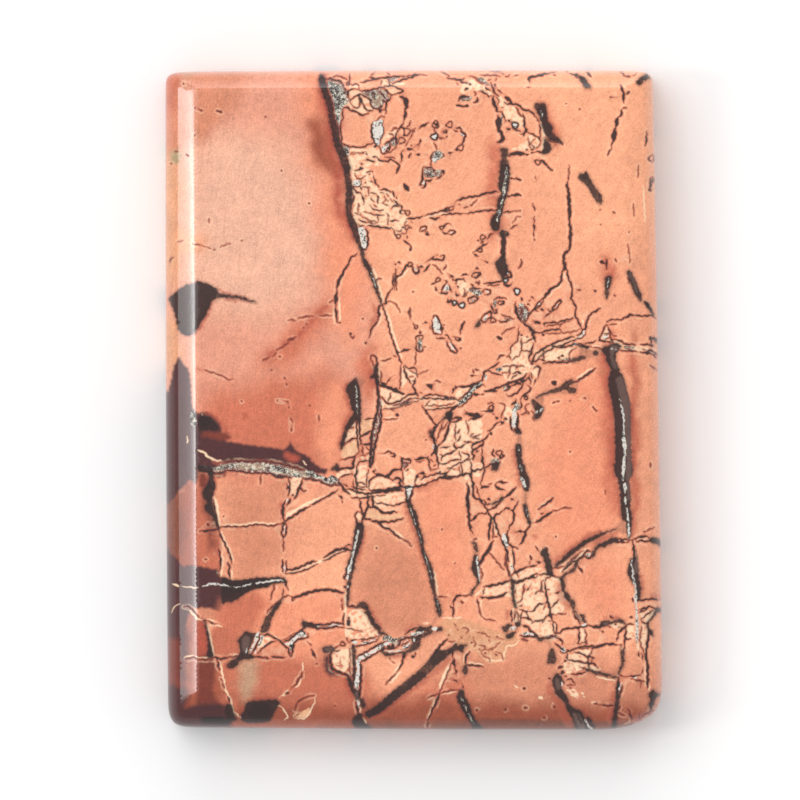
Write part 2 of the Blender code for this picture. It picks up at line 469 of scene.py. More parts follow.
# %% The fault's lower end, and the hairline that runs on from it
FAULT_END = """
umber 0 362,262 366,262 369,266 371.5,270 373.3,275 375.5,280 377.5,285 378.5,290 379.6,294 381.2,299 \
382.5,304 380.5,303 378.5,298 376,293 374,288 372,282 369.5,277 367.5,271 364,266
seam 1.3 370,271 372.5,277 374.5,283 376,288
pale 2.2 372.5,268 375.5,275 378,282 380,289 382,296 383.5,302
dark 2.8 382,304.5 379.5,306 378.3,309 379,314 378.5,319
dark 2.4 378.5,319 376,323 373,327 371,331 370,334 370,337
stain 5 373,305 376,311 376,318 373,324 370,330
dark 2.0 382.5,305.5 384.5,311 386.5,318 388.5,325 390,332 392,338 394,344 396,350 398,355 400,360 \
401.5,364
pale 2.2 385.5,309 388,316 390.5,323 392,331 394.5,338 397,345 399.5,352 401.5,358
pale 1.6 381,309 381.5,315 380,321 376.5,327
dark 2.6 382.5,305 386,303.3 386,300 387,296 389,292.5 392.5,289.5
dark 1.8 393,290 393,284 393,279 393.3,274
dark 1.8 396.5,290 396.3,284 396,278 395.8,269
brown 2.4 394.7,275 394.8,282 394.8,289
dark 2.4 396,277 399.5,275.8 402.5,272.5 405,268.5 408,265
pale 2.0 398,279 402,276.5 405.5,272 408,269
brown 1.3 386,301.3 391,302 395,303.5 397,306 399,309 400.3,312.5
brown 1.8 376.5,280 378,279.4 381.5,278.5
spot 1.2 377,280
brown 2.8 410,308 409.3,311 410,315 410,317.5
brown 1.4 413,323 415,325.5
ring 1.7 416,327
brown 2.6 420,331 420.3,333.5
dark 1.9 416,341 416,337.5 419,335.7 422.3,335.7 422.8,339
dark 2.0 416.5,343 416,348 417,351 419.5,352 422.5,350.5 423,347
quartz 0 418,338 421.5,338 422,343 422,349 418.5,350.5 417.5,345
brown 1.7 416,352 415.6,358 415.2,364
brown 1.6 424,347 426,347
spot 1.6 366,343
dark 2.0 371,361 371,357 373,354.8 375.5,356.5 377,361 377,366 376.3,370
brown 1.4 372.5,361 373.3,366
dark 2.0 382,361 386,360.5 389,359.5 391,357.5
brown 1.6 394,356 397,356.5
dark 2.6 400,352.5 403,351 406,350.2 410,349.5
dark 1.6 404,348.3 403.5,351
"""
print(len(FAULT_END.splitlines()) - 1, "marks")

# %% Small vugs in the middle of the face, many with quartz in them
MIDDLE_VUGS = """
dark 2.4 411.5,266.5 413,268 414,272 417,273.8 419,271.5 418,267
white 0 414.5,268 417,269 417.5,271.5 415.5,271.5
dark 2.8 429.5,264.5 427.5,268 424,272.3
brown 1.6 433,264.5 437,268 440,271.5 443,274
dark 2.2 446.5,265 445,268 443,270
spot 1.6 421,266.5
ring 2.2 438,280
dark 2.4 431.3,285 433,283.4 435.5,283
dark 3.0 435.5,288 437,291
white 0 443,290.5 446,285.5 448,285 450,290.5 447,291
dark 2.0 441,292 443,287.5 446,284.5
dark 2.0 448.5,284.5 450,288 451,292
dark 1.6 446.5,291 447,287
dark 2.6 440,293 445,293.8 448,292.5
spot 1.3 447,281.5 452.5,276.5 453,280 463,275 466,274.3 458,286.8
dark 2.0 456,284 456,281 459,279.3 463,279.2 465.3,282
cream 0 457,281.5 464,280.5 469,284 476,288 482,291 479,296 472,295 467,296 463,297 460,292 458,287
quartz 0 468,290 473,287 479,290 482,294 477,296 472,293
dark 2.2 456,293 456.5,295.5 459,295.3
brown 1.5 464,289 465,294 463,296.5 466,295.5 468,291
dark 2.4 448,299 447,302 449.5,302.3 450.5,299
vug 2.2 454.5,303
vug 2.7 462,305.5
dark 2.0 468,302 468.7,299 472.5,297 477,297.2 478.5,298.8 476,301 473,303 470,304 468,302
quartz 0 470,300 474,298.5 477,299 474,301.5 471,302.5
dark 2.0 471.5,277 472.5,274 476,273 480,273 479.5,275.5 475.5,277.5 471.5,277
white 0 474,275.8 476,274.7 478,274.8 475.5,276.3
spot 1.5 477,268.3
brown 2.4 475.5,282 478.5,283.5 479.3,281
dark 2.2 471,284 474,286.5
dark 2.0 470,290 472.5,288 476,289 480,288.6
dark 3.6 482,291.2 483,291.4
dark 1.9 484,290 488,289.5 491,290.5 490.5,293 488,295 484,294.5
white 0 485.5,291 489,291 488.5,293 485.5,293
brown 2.2 493,300.5 497,298 502,298 506,299
dark 2.0 497,303.3 499.5,301.3 503.5,301.2 503,304 500,305 497,303.3
white 0 499,303 502,302.2 501.5,303.8
dark 2.2 491,303.5 491.5,307 493.5,310
quartz 0 493,301 497,300 496,306 494,308
dark 2.6 492.5,313 496.3,313
spot 1.2 496,310
dark 2.0 480,320.5 483,316.5 487,312.8 491,312 491,315 487.5,320 484,322.3 480,320.5
white 0 482.5,319.7 486,315.5 488.5,315 486,319.3 484,320.8
umber 0 479,320 476.5,323.5 474.5,327 479.5,327 480.5,323
ring 2.4 493,320.5
spot 1.3 491,322.3
brown 1.8 501,314 504,316 509,317.5 512.5,319 514.5,319
dark 2.5 499,320.5 502,322.3 506,321 509.5,318.7
white 0 501,320.3 505,319.5 507,318.8 504,321
quartz 0 504,317.5 508,318.5 513,320 509,321.5 506,320
dark 4.0 497.5,337.3 500,339 502,338.3
brown 1.9 502,334.5 505,331.5 508,329.7 512,328.3 515,327.5
brown 1.7 487,285.2 493,285.4 499,285
dark 2.4 484,283.2 490,283.3 496,282.5 500,281.5 503,281
dark 2.4 506,271.5 509,271.5 511,274 511,277 507.5,277 505.5,274
white 0 506.5,272.5 508.5,273 507,275
vug 2.3 505.5,280.5
dark 2.8 504,285.3 508,286 511,284.3
vug 3.0 517,291.6
dark 5.8 521,298 522,299.5
dark 3.6 531,297.2 532.3,298
brown 1.5 530,299.5 528.8,302
spot 1.2 528,304.3
dark 2.2 432.5,318 433.5,316 438,316.8 437.8,319.5 440.3,323 441,328 441.7,332 441,334.5
dark 1.9 441,334.5 437,334.4 433,331.5 432.3,326 432.2,320
white 0 433.5,318 436,317.2 438,321 440,324 440.3,330 440.8,333.5 437.5,333.2 434,330.5 433,325
brown 1.3 429.5,326 431,329
brown 1.3 442,325 445,325
spot 1.5 443.3,328.2
dark 2.1 445,335 448.5,336.5 450.2,340
dark 2.0 437,338 440,338.8 444.5,338.2
dark 2.1 446.8,341.5 448,346 451,350 455,353.2 457.5,352 456,349 453,345.3 450.7,341
white 0 449,343 451,343 453.5,347.5 455,351 452.5,350 449.8,346
brown 1.6 459,349 461.5,348.6
dark 2.8 465,321.3 462.3,325 461,329 459.8,334
dark 1.7 454,336.8 459.5,337.8 460.3,340 456.5,340.3 454,336.8
spot 1.2 426,322.5 413.5,292
"""
print(len(MIDDLE_VUGS.splitlines()) - 1, "marks")

# %% The line that splits, and the broken rock at its foot
SPLIT_LINE = """
dark 2.2 566,262 565,266 563.5,270 561.5,273
dark 2.9 561.5,273 561.3,279 560,283 556,286.7 551.5,288.3 549,292 545.5,295.7 542,299
dark 1.9 541.5,299.5 538,302.5 536,306 534,309 531,312 529,315 528,318 526,321
dark 1.8 543.5,301.5 540.5,305 537.5,307.7 535,310
white 0 537.5,304.5 540.5,301.5 542,301.5 539.5,304.8 537,306.5
pale 1.6 562,282 559,287 553,290.5 550,295 546,298.5
brown 1.5 535,310.5 538.5,311.2
spot 1.5 541.5,309.4
spot 1.9 538.5,322.5
dark 2.1 565.5,266 567,272 568,278 570,282 571.6,287 572,292 571,297 572.2,301.5 575,305.5 576,309.5 \
574.5,314 577,319 579.3,324 581.5,328.5
cream 0 563.5,273 565,271 566.5,277 569,284 570.5,292 569,286 566,281 563,278
dark 2.4 545,317 547,314.7 549.5,314
dark 2.2 548,310.4 551,311.7
dark 1.9 551.5,312 553.3,307 557,302.3 560.3,299.8 561,301.5 559,305.5 556,309 552,312
white 0 554.5,306.5 556.7,303.8 558,304.3 556.3,307
dark 2.0 544,326.5 543.8,323.2 548,323.3 552,322.3 556,323 560,321.8 565,320.2 570,319.5 574,317.8
brown 1.6 545,327 550,325.3 554,325.2 558,324 561,325
brown 1.3 559.5,327.5 561,324.5 565,322.2 568.5,321.5 570,322
white 0 573.3,316 574.7,314.8 575.2,317 574,318.2
dark 2.1 535,332.5 540,333 545,331 550,330.1 556,329.5 560,330 561.5,332.8
dark 2.4 542,335 544.3,334.2
brown 1.3 546,333.7 552,333.5 560,333.5 566,332.5 572,332 577,330.5 580,329.5
dark 2.4 581.5,328.5 583.5,329.3 585.5,327.5 586.3,322.5 588.5,317 592,313.3 596,311.2 600.3,308
pale 2.0 582,320 583,325
white 0 578,337 581.5,334.5 583,330.5 585,330 584.5,333.5 581,337.5 577,339.5
dark 1.9 586.3,331 584.5,334.5 582,337.3 577.5,338.8 574,339.5
dark 1.9 581.8,329.5 581.5,333 577,335.8
dark 3.2 515,303.5 515.7,308 516.5,312.5 518.5,317 521,321
dark 2.4 521,321 524,324 528,327 531,330.5
dark 2.2 531,329 533.7,331 532,334 534,338 536,342
umber 0 528,325 531,327 534,331 533.5,335 531,333 529,329
quartz 0 519,303 524,305 528.5,310 530,314 526.5,319 525,324 521,319.5 518,313 518,307
brown 1.6 524,304.5 528,310 531,312.8
dark 3.0 528,312.5 528.6,313.3
dark 1.6 520.5,307 521.5,311 520.5,315
dark 1.7 518,328 518.5,331 518,336 517.2,341 513,344.3 511,348 510,354
dark 1.8 521,339 521.3,345 521.5,350 519,354.5
dark 1.6 523,343.5 527,341.5 531,339.2 534,337
brown 1.7 526,337 528.3,337.2
spot 1.2 521.3,335
dark 1.9 523,350.6 527,351.2 531,351
dark 2.2 533.3,342.5 532.3,348 531,353 529,357 529,360.5
dark 2.2 497,360 500,356.3 504,355
brown 1.8 506.5,357 509,356.5 510.5,359.5
dark 1.7 512,360.5 515,357.3 519.5,356
cream 0 519,336 531,337 534,341 530,351 527,362 515,363 510,361 511,350 514,345 518,342
"""
print(len(SPLIT_LINE.splitlines()) - 1, "marks")

# %% The tangled band and the bars at the upper right
UPPER_RIGHT = """
brown 1.5 480,75.5 488,75.5 495,75.5 500,76.5
brown 1.6 490,71.5 497,71.5 501,72.5 504,74.5
dark 1.9 505,76 508,77 510,75
brown 1.3 514,76 518,75.5
dark 2.8 529.5,82 528.5,79 531,77.5 535,76.5 540,75.5 545,74 550,73.5
brown 1.5 550,73 556,72
dark 1.7 553,75 556,75.5
brown 1.3 527,87 530,88
cream 0 470,78 478,84 484,86 490,91 492,96 486,94 478,91 470,90 464,94 460,92 463,84
quartz 0 478,77 483,78 487,82 490,86 487,86 481,83 477,80
brown 1.8 469,76 473,77 477,80 480,82.5 484,84 487,85
dark 2.0 490,83 492,86 493,90 495,93 497,95.5 498.5,97
dark 2.6 494.5,84 495.5,87
dark 2.4 498,90 500,92
dark 2.0 485,87 487,89.5 490,91
brown 1.5 491,80 488,80.5
brown 1.5 495,81 496.5,79
dark 1.9 479,91 483,93 487,94.5 489,96.5 491,96.5
brown 1.3 480,90.5 484,92
spot 1.4 466.5,83 470,84.5
dark 3.0 465,90 468,89
dark 2.4 477,98 477,101 474,103.5
spot 1.9 467,106
quartz 0 460,97 468,96 472,98 470,101 462,101
brown 1.3 474,92 476,95 475,96
dark 3.4 493.5,96 493,100 494,104 496,108 497.5,112
brown 1.3 496,97 499,101 497,106
cream 0 498,97 504,99 508,104 513,106 516,110 517,116 523,118 524,127 519,130 512,123 505,118 503,110 \
499,105
dark 5.6 498.5,117 498.5,122 498.5,128 499,132
seam 1.8 501.5,116 501.5,122 501,127
white 0 497,133 499,133 499,135 497,135
dark 4.2 501,131 502.5,137 502.5,140 500,142 497,142.5
dark 1.8 499.5,112 502,113 503,116 505,119 505,122
dark 2.0 502,107 503.5,108
dark 4.4 505,97.5 508,99.5 511,102
dark 2.2 504,103 508,104.3 512,104.5 516,104.3 520,107 524,110 529,111 533,114 536,117.5
brown 1.7 536,117 538,120 539,123
brown 1.9 516,107 518,111 520,115 523,117
dark 2.4 523,115 524,119 524.5,123 524,127 527,129.5
vug 3.0 515,125.5
dark 1.8 512,128 516,130.5 521,131.5
spot 1.6 509,121 509,129.5 526,131.5
dark 2.0 521,135 523.5,134 524,136
cream 0 528,137 532,135 537,139 540,142 538,146 535,150 531,150 529,145
dark 1.9 528,133 532,134 536,137 540,140 540,143
brown 1.7 540,143 538,147 535.5,149.5
brown 1.5 528,138 529,143 530,148 532,150 534,148 532,145
brown 1.2 531,143 535,138
dark 2.0 539.5,124 540,130 540,137
pale 2.8 541,122 543,130 544,138 543,146 541,151
umber 0 534,106 536,103 540,104 544,103 546,107 547,114 548,121 552,127 553,133 558,138 562,143 \
557,143 551,141 546,136 543,130 541,123 539,117 536,111
seam 1.6 540.5,111 542,114 541.5,118
dark 2.2 560,143 563,145.5
umber 0 544,139 548,142 551,146 551,150 547,154 542,154 543,148
dark 1.5 545,137.5 549,140.5 554,143
dark 4.6 510,154.8 515,153.5 520,153.5 525,154.5
dark 2.2 508,156 512,155
brown 1.6 514,155 522,155
dark 2.2 534,152.5 537,151.8 540,152.5 544,151
spot 1.3 527,150 528,155 532,153
ring 2.6 537.5,162.5
dark 3.6 542,161 545,164.5 547,166.5
dark 2.4 547,166 551,169.5 553.5,171
dark 2.0 570,73.5 574,75.5 578,78
dark 2.4 576,73.5 580,77 583,80
umber 0 579,77 584,77.5 587,81 589,84 591,88 589,89 585,88 582,84 580,81
pale 1.8 582.5,80 584.5,84
dark 3.0 586.5,72.5 588.5,74.5 591,77
brown 1.4 565,71.5 568,72.5
brown 1.8 619,71 622,73 624,76 627,77 630,76
brown 2.6 626,77 629,76.5
umber 0 636,82 638,79 641,77 644,75 647,73.5 649,76 650,79 648,79 645,81 643,80 642,84 639,85.5 636,84
pale 1.2 644,77 647,79
brown 1.0 633,76 637,73
dark 2.8 620.5,85 622,90 623.5,95 623,99 623.5,103
dark 2.4 629.5,91.5 628,93.5 627,95
brown 1.5 627,108 624,108 622,109
dark 2.2 621.5,110 621.5,113 620,116.5 618,117
dark 4.0 617,118 616.5,123 615.5,128
dark 5.0 614.5,129 614,136 613,142
dark 2.6 612.5,142 611.5,146
dark 2.0 611,148 609,152 607.5,155.5
dark 2.0 646.5,131 646.5,137 646,142 645,146
ring 3.0 651.5,158.5
spot 1.2 580,109.5
cream 0 511,150 517,147 525,142 529,142 529,150 520,151
"""
print(len(UPPER_RIGHT.splitlines()) - 1, "marks")

# %% The long dark vein with a quartz core, and the cracks that meet it
CORED_VEIN = """
umber 0 500,149.5 504,148 507.5,150 508,154 506.5,158 508.5,163 510,172 509.5,180 509,186 508,191 \
506.5,197 504.5,202 503.5,208 502,214 500,220 500,226 498.5,230.5 495,231.5 491,228 490,222 492,217 \
496,213 497,208 497,203 498.5,198 501,193.5 499.5,190.5 498,187 498.5,180 499.5,172 500,164 501.5,158 \
501,153
seam 3 506.5,167 506.5,174 506,179 504.5,184 504,190 503.5,196
seam 1.8 502.5,198 501.5,204 500.5,208
seam 3.2 500,209 499,213 498,216
seam 2.2 497,217 497.5,222
pale 1.8 504.5,181 506.5,177.5
pale 1.6 496,226.5 497,229
umber 0 499,233 502,230.5 506,231 509,233 508,236.5 504,238 500,237
dark 5.5 503.5,237 503.5,244 503,250 503,257
umber 0 501,256 505,256 506,262 508,268 508,276 505,276 503,281 500,276 496,268 495,262 498,260
pale 1.5 498.5,260 498.7,261
pale 1.3 502.5,264.5 504,268
dark 2.4 457,201 461,199.3 466,198 472,196.8 478,196.3 482,195 486,193.3 490,193.2 494,191.8 498,192.3
dark 2.1 467,213.4 473,212.8 479,211.6 485,210.7 491,210.5 497,210.3
brown 1.5 471,205.5 474,202.5 477,199.5
dark 1.6 463.5,207.5 468,207.3
brown 1.8 470,205 472,206
brown 1.8 458,205 460,205
dark 2.2 510,178.7 513,178.5
dark 2.6 514,178.8 518,179.3 521,180.3
dark 2.2 506,196.5 510,196
dark 3.2 510,195.9 514,195.5 518,195 521,196
dark 2.2 504,212.5 509,212 513,211.8
dark 2.2 519,211 521,211.5
dark 1.8 509.5,229 513,227 517,224.5
brown 1.2 512,223.5 515,219.5 517,217 520,216.5
dark 2 532.5,203.5 533.5,207 535,211
brown 1.4 534.5,216 534,220 534,224
dark 3.4 534,225 534,230
dark 1.8 533.5,232 533.5,236.5
spot 1.2 534.5,240 487.5,262.5 477.5,268.5
brown 1.2 535,176 535.5,179
dark 2 493,233.5 490,235 488,239
ring 2.4 482.5,237.5 480,250
brown 1.5 477,240.5 479,241.5
dark 1.8 481,243 484,241.5
dark 2.4 480.5,246.5 484,245 487,243.5
dark 2 475,251.5 478,249 481,249
brown 1.4 472,253 475,251
dark 2.2 474,254.5 478,256.5
brown 2.2 521,259 521.5,263 520,266 518.5,269
"""
print(len(CORED_VEIN.splitlines()) - 1, "marks")

# %% The fault's middle, the net of cream chert beside it and the cracks to the right
CREAM_BRECCIA = """
umber 0 344,169 345,180 346,190 345.5,200 346,210 347,218 349,225 352,231 354,238 357.5,245 360,251 \
361.5,258 364,264 368,270 372,270 369,264 365,258 364,251 361.5,244 360,238 358.5,231 357.5,225 \
354.5,220 352.5,216 351.5,210 352.5,203 352.5,196 353,190 352,183 350,176 350,169
dark 2.4 357,254 355,256 352,256.5 350,260 348,265 345,270
cream 0 351,166 365,166 372,174 375,183 379,190 388,191 394,196 401,207 404,214 408,219 405,228 \
400,237 397,238 393,230 384,228 372,226 366,226 360,227 357,225 353,215 354,205 352,195 352,180
white 0 353,181 358,180 361,184 359,186 354,186
dark 1.8 353,186.5 358,187 361,185 361,181
dark 1.8 360,187 362,190
dark 2 355,170.5 360,170 363,168.5 361,167.3
brown 1.5 355,174 357,179 362,178.5 366,176
dark 2.2 353,188 355,190 357,193 361,193
dark 2 352,195 354.5,197 353,200 352.5,203
dark 1.6 361.5,195 363,199 364.5,204
brown 1.5 358,204 360,207
brown 1.5 358,208 358,213
brown 1.6 355,213.5 358,214.5
dark 1.8 359,220 362,221.5 366,222
dark 1.8 359,225 361,226.5 364,226
dark 2.3 367,226 372,226 378,227 384,227.8 389,228.5 392,228
dark 1.8 391,227 393,230
dark 2 373.5,176 374.5,180 376,184 379,187.5
dark 2.4 380,190.5 383,189.3 387,190.5 390,192
dark 2.2 391.5,191.5 393.5,193 394,197
dark 2 394,200 397,203 400,205.5
dark 2 392,208 395,206.3 399,206.5
dark 2.2 401.5,206 402,209
dark 1.8 403,210.5 400,211 400,213.5 403,214
ring 2.4 407.5,213
spot 1.2 397,198
dark 1.8 371.5,207 373,209.5 378,210.5 383,210.5
dark 1.8 368,213 373,214.5 379,215.5 384,215
dark 1.6 387,214 390,216.5
brown 1.6 378,215.5 378,221
brown 1.6 388,217 388,225
dark 2 390,221.5 394,220.7 398,221
brown 1.3 360,221.5 368,223 376,224.5
brown 1.3 360,215 366,219 372,221 378,223
brown 1.4 361,188 366,187 370,188
brown 1.6 361,193 364,199 364,205
brown 1.4 368,187 369,196
dark 1.6 370,193 376,194
dark 1.8 377.5,195 378,204
brown 1.4 380,193 384,193
dark 1.6 386,194 389,197
brown 1.5 384,196 386,200 382,203
dark 1.5 371,198 374,202
brown 1.4 390,199 394,203
brown 1.4 374,205 377,207
brown 1.4 384,204 388,206
brown 1.3 360,180 362,185
spot 0.9 366,183 372,182 370,171.5 373,172 369.5,174.5 367,172.5 379,197 388,201 366,196 386,190 \
360.5,214 365,212
white 0 358,228 364,228 366,234 367,245 365,249 362,247 360,238
dark 2.2 365.5,228 367.5,233 368,240 367.5,246 365,249.5 362,249
dark 1.6 364.5,236 364.5,243
dark 3.6 399.5,165 398,170 396.5,173.5
dark 4.6 403.5,184 405.5,187 409,191.5
dark 2.4 423,168 422.5,172 422.5,178 421.5,182 419.5,186
dark 2 423,167.5 428,167.5 432,168
quartz 0 424,169 431,168 437,170 443,170 441,175 436,177 430,178 425,177
spot 1.5 433.5,170.5
dark 3.4 443,170 443.5,173
dark 2.4 441,176 437,179.5
dark 2.4 426,180 430,181 432,179.5
spot 1 427.5,175.5 435.5,174
white 0 423,181 425,181 424.5,185 422.5,184
dark 2.4 425.5,181 425,186 423,188
dark 2 419.5,186 422,185
brown 1.8 431,163 431,167
dark 2.2 406,219.2 411,218.8 416,218.2 420,217.6 423,217
dark 2.2 425,215.8 430,214.3 435,213.3 440,211.5 445,210 449,207.5 452,206.8
dark 1.8 444,212 448,211 452,210 453,208
pale 1.8 424,217.5 432,216 440,213.8 448,213
dark 3.2 430.5,218.3 434,219 438.5,218.5
dark 2 441,215.3 447,214.6 453,214 459,213.8 463,213.7
dark 1.8 419.5,231 420,228.5 423,226.5 426.5,226.8 426.5,229 423.5,231.3 420,231.5
white 0 421,229.5 424,227.8 425.5,228 422.5,230.3
dark 3.4 426,233.5 429,235
brown 1.8 424,232.5 427,231.5
dark 2 449.5,224 446,224.3 444,227 442.5,230
ring 1.8 441.5,228
dark 2 442.5,231 444,233.5 448,234.5
dark 1.8 447,233.5 449,231 453,230.8 455.5,232.2 453,234.3 449,234.6 447,233.8
white 0 449.5,232.5 453,231.7 453.5,233 450.5,233.7
brown 1.6 407,221 404.5,224 405,227
ring 2 407,227.5 398.5,236.5
dark 2.2 402,227.5 404,227
dark 2.2 410,228 412,227.5
brown 1.8 411,222.5 413,222.5
dark 1.8 394,231 395,234 396,237 397.5,239
brown 1.5 396,230.5 401,231.5 402,229.5
brown 1.2 399,234 406,234
dark 1.6 406.5,231 406.5,234
dark 3.4 407,236.5 407,238.5
spot 1.5 406,242.3 410,250
dark 2 410.5,246 411,248
spot 1.2 398.5,262 395.5,264.5 395.5,269.5
dark 2.2 404,270 406,266 409,263
ring 2.2 410,264.5
brown 1.6 433.5,264.5 436,267 438.5,270
dark 2.2 428,260.5 432,259.5 437,259.5 440,260.5 443,260 444.5,257 442.5,255.5 440,256
dark 1.8 432,258.5 434,256
brown 1.5 437,256 438.5,254.8
"""
print(len(CREAM_BRECCIA.splitlines()) - 1, "marks")

# %% Upright bars at the upper right
RIGHT_BARS = """
brown 1.5 569,165 569,170 568.5,176
brown 2 568.5,176 568,181
dark 3 567,182 567,187 568.5,190
dark 3.8 568,188 568.5,196 569,205 569.5,214 569,222
dark 3.4 569,222 570.5,230 570,238 570,246 568.5,250
dark 2.8 568.5,250 565,253 563.5,258 563.5,263 564.5,270
dark 1.6 569,250 567.5,254
umber 0 578,176 580,174 585,173 587,173.5 589,177 592,183 595,188 599,192 602,197 602,200 601,204.5 \
598,203 594,199 591,194 588,188 585,185 581,181 578.5,178
spot 1.4 586,173
brown 1.6 612.5,211.5 615,213.5
spot 0.9 600.5,225 600,210
spot 2.3 601.5,262
dark 2 604,263 606,265 606,270
brown 1.5 615.5,258 616,262
brown 1 638,166 638,178
brown 1 633,204 634,216
brown 1.1 627.5,244 629,255
brown 1.2 629.5,258 629.5,263
pale 1.4 643,186 644,204 645,222
ring 2 652,179.5
dark 2.4 650,178 650.5,183 650,187 648.5,190
dark 1.8 653,178 652.5,182 651,185
dark 2.4 648.5,190 651.5,190.5
spot 0.9 610,97.5 566,104 628.8,232.3
"""
print(len(RIGHT_BARS.splitlines()) - 1, "marks")

# %% The maroon edge of the rose block and the band over the quartz seam
# The small quartz outline at 190 to 197 across and 411 to 427 down lies under the bright strip of the
# left bevel: it is quartz, and also a painted spot of reflection there
MAROON_EDGE = """
maroon 3 179,357 184,364 189,370 191,382 192,396 193,406 198,413 205,411.5 209,413 214,416 219,421 \
222,427 222,432 228,433 229,437 218,437 225,441 235,442.3 245,444.3 260,446 275,448 284,449.5 288,446 \
290,441.5 293,446 297,450.5 301,453 306,455 310,457.5 313,462 318,466 323,468 328,470 325,474 315,473 \
303,470.5 297,469 291,467 286,466.5 280,464.5 270,462.5 260,462 250,462.5 240,462 230,463 222,463.5 \
215,468 205,470 199,474 196,484 191,480 186,484 181,489 178,492.5 174.5,498 170.5,500 168.5,504 \
150,504 150,393 167,391.5 169,387 171,381 172,375 173.5,368 176,362.5
brick 4 205,431 216,432 228,433 231,438 222,440.5 210,438 202,436
umber 0 199,417 205,416 211,417.5 216,423 219,428 216,430.5 208,429.5 200,430
pale 2.2 197.5,450 201,451.5 205,452.5 207,455.3 210.5,458 214.5,459.8 218.5,460.8 222,460.6
stain 2.4 212,461.5 217,463 221,462
pale 1.5 202.3,414.5 202.7,416.5
quartz 0 192,411 196,414 197,424 193,427 190,420
pale 1.4 187,436 188,440 187,443
stain 2.6 196,368.6 201,369.6 206,370.6
brown 1.2 205,370.4 209,371.4 215,373.4 220,375 225,377.5 229,379.6 233,379.4
stain 5 243.5,413 245,417 245,421
rust 5 284,452 290,453 297,455.5 300,459 293,462 286,458.5
pale 1.6 303,460.5 305,463 307,464.6
stain 4 205,412 212,415 219,420 224,427 228,433
umber 0 331,470 334,466 336.5,463 339,466.5 338.5,471
brown 1.9 319,415 319,418 319,421
brown 1.6 291,418 292,421
brown 1.8 291.3,428.5 292,431.5
spot 1.0 287,384.5 288.5,402 289,407.5 285,378 272,370 278,400.5 310,405.5 242,401
"""
print(len(MAROON_EDGE.splitlines()) - 1, "marks")

# %% The second fault, which splits below the rose block
SECOND_FAULT = """
umber 0 356,377.5 351,382 347,386 346,391 348.5,396 350,402 351.5,408 353.5,414 350,418 347,423 \
345,428 343,434 341.5,440 340,446 340.5,449 343,449 344.5,444 346,438 347.5,433 350,428 354,423 \
356.5,420 358,424 361,420 361,410 360.8,398 360,389 358.5,383
stain 5 349,382 345,388 346,396 349,404 351,411 347,419 344,428 341,438 338,447
seam 1.6 356,385 356.8,394 357,404 357.5,414
dark 2.0 356.3,418 356.7,427 357.3,436 358,444 358.8,451.5
dark 2.2 360,417 359.6,426 359.8,434 360.3,440 360.8,444
pale 1.2 358.2,424 358.4,434 359.3,444
cream 0 349,430 355,422 356,429 357,437 350,438.5 346,443 345,441 347,435
sand 2 345,446 351,442 358,439 358.5,451 354,455.5 345,458 341,455
sand 2 361,420 374,420 371,430 361,435
brown 1.6 350,428 354,427.4
dark 2.1 344,444 348,441.5 352,439 357,437.3
dark 1.7 340,460 345,459 350,457.5 355,456 358,453.5 359.5,452
dark 2.6 338,471 341,469 345,468 350,468.2 353,467 353.5,461 355,457.5
cream 0 354,472 355,463 358,458 363,456 371,453 371,460 361,461.5 357.5,465 356.5,472
dark 1.9 356.5,471 357.3,464.5 360,461.5 364,461 370,460.3
dark 2.7 360.3,436.5 364,435 368,432.5 371.5,431
dark 2.3 360.5,444 364,444.5 368,444 371.5,442.3
brown 1.6 362,445 362.7,451 363,456
brown 1.7 367,446.5 368.7,449.5 370.5,451.5
brown 1.5 361,456 364,455.5 367,454 371,453.3
dark 1.9 364,419.6 368,419 373,418.4
umber 0 374,366 377.5,364 378.5,374 379.3,384 377.3,385 375,379 370,377.3 373.5,373
stain 7 370,369 372,375 375,382 377,390
dark 3.2 376,376 376.8,383 378,391 378.4,400 378,407 376.5,414 375,420 373.5,426 372,433 371.5,440 \
371.2,447 370.7,455 370,462 370,468
dark 2.6 380.8,409 381.3,415 381,421 380.3,426 378.5,432 377,438 375.5,444 374.3,450 373.7,456 \
372.5,462 371.3,467
quartz 0 379,397 382,402 382,408 380.5,414 380.5,420 379.5,426 377.5,431 376,437 374.5,442 373.5,450 \
372.5,458 371.3,464 371.3,452 372.5,442 373,434 374.5,427 376.3,420 378,412 379,405
pale 2.0 379.3,368 379.7,376 379.7,384
brown 1.8 381,371.5 381.2,376 380.8,381
dark 2.4 380,382.4 383.5,383.4 386.3,384
brown 1.8 386.5,384 388.5,381 390.6,378
dark 3.4 379.5,385.3 384,386 388,387.5 392,389.2 396,391 400,392.6 404.3,393.7
spot 1.6 396,388.6
cream 0 381,388 390,390 404,394.5 408,395.5 402,400.5 390,403 384,399 380.5,395
brown 1.8 391,393 389.5,398 388,402
dark 2.1 380,396.5 382.5,397 384,400 387,402.7 390,404 394,402.7 400,401 405,397.5 409,394.7 \
414,394.3 418,396
cream 0 382,400 388,405 396,404 404,399.5 410,396 418,397 424,399.5 418,402 411,403 404,406 396,408.5 \
388,409 382,408
quartz 0 394,405.5 401,402.5 408,398.5 412,399.5 406,402.5 399,405.5
brown 1.6 383,409 390,408.6 396,408 402,406 408,403 413,401.4 418,401.6
brown 1.5 392,405 398,404.3 404,402 410,398.7 416,398.3 422,399
dark 1.9 405,406.6 409,404 413,402.5
brown 1.6 390,408.6 394.3,411
spot 2.0 397.3,414.7
brown 1.4 382,419.6 390,419.4 397.5,418.6
pale 1.2 385,417.6 395,417.2
dark 1.9 384,453.6 388,451.4 391,454
dark 2.1 390.6,452.3 394,453.6 394.6,456.3 391.3,456.7
"""
print(len(SECOND_FAULT.splitlines()) - 1, "marks")

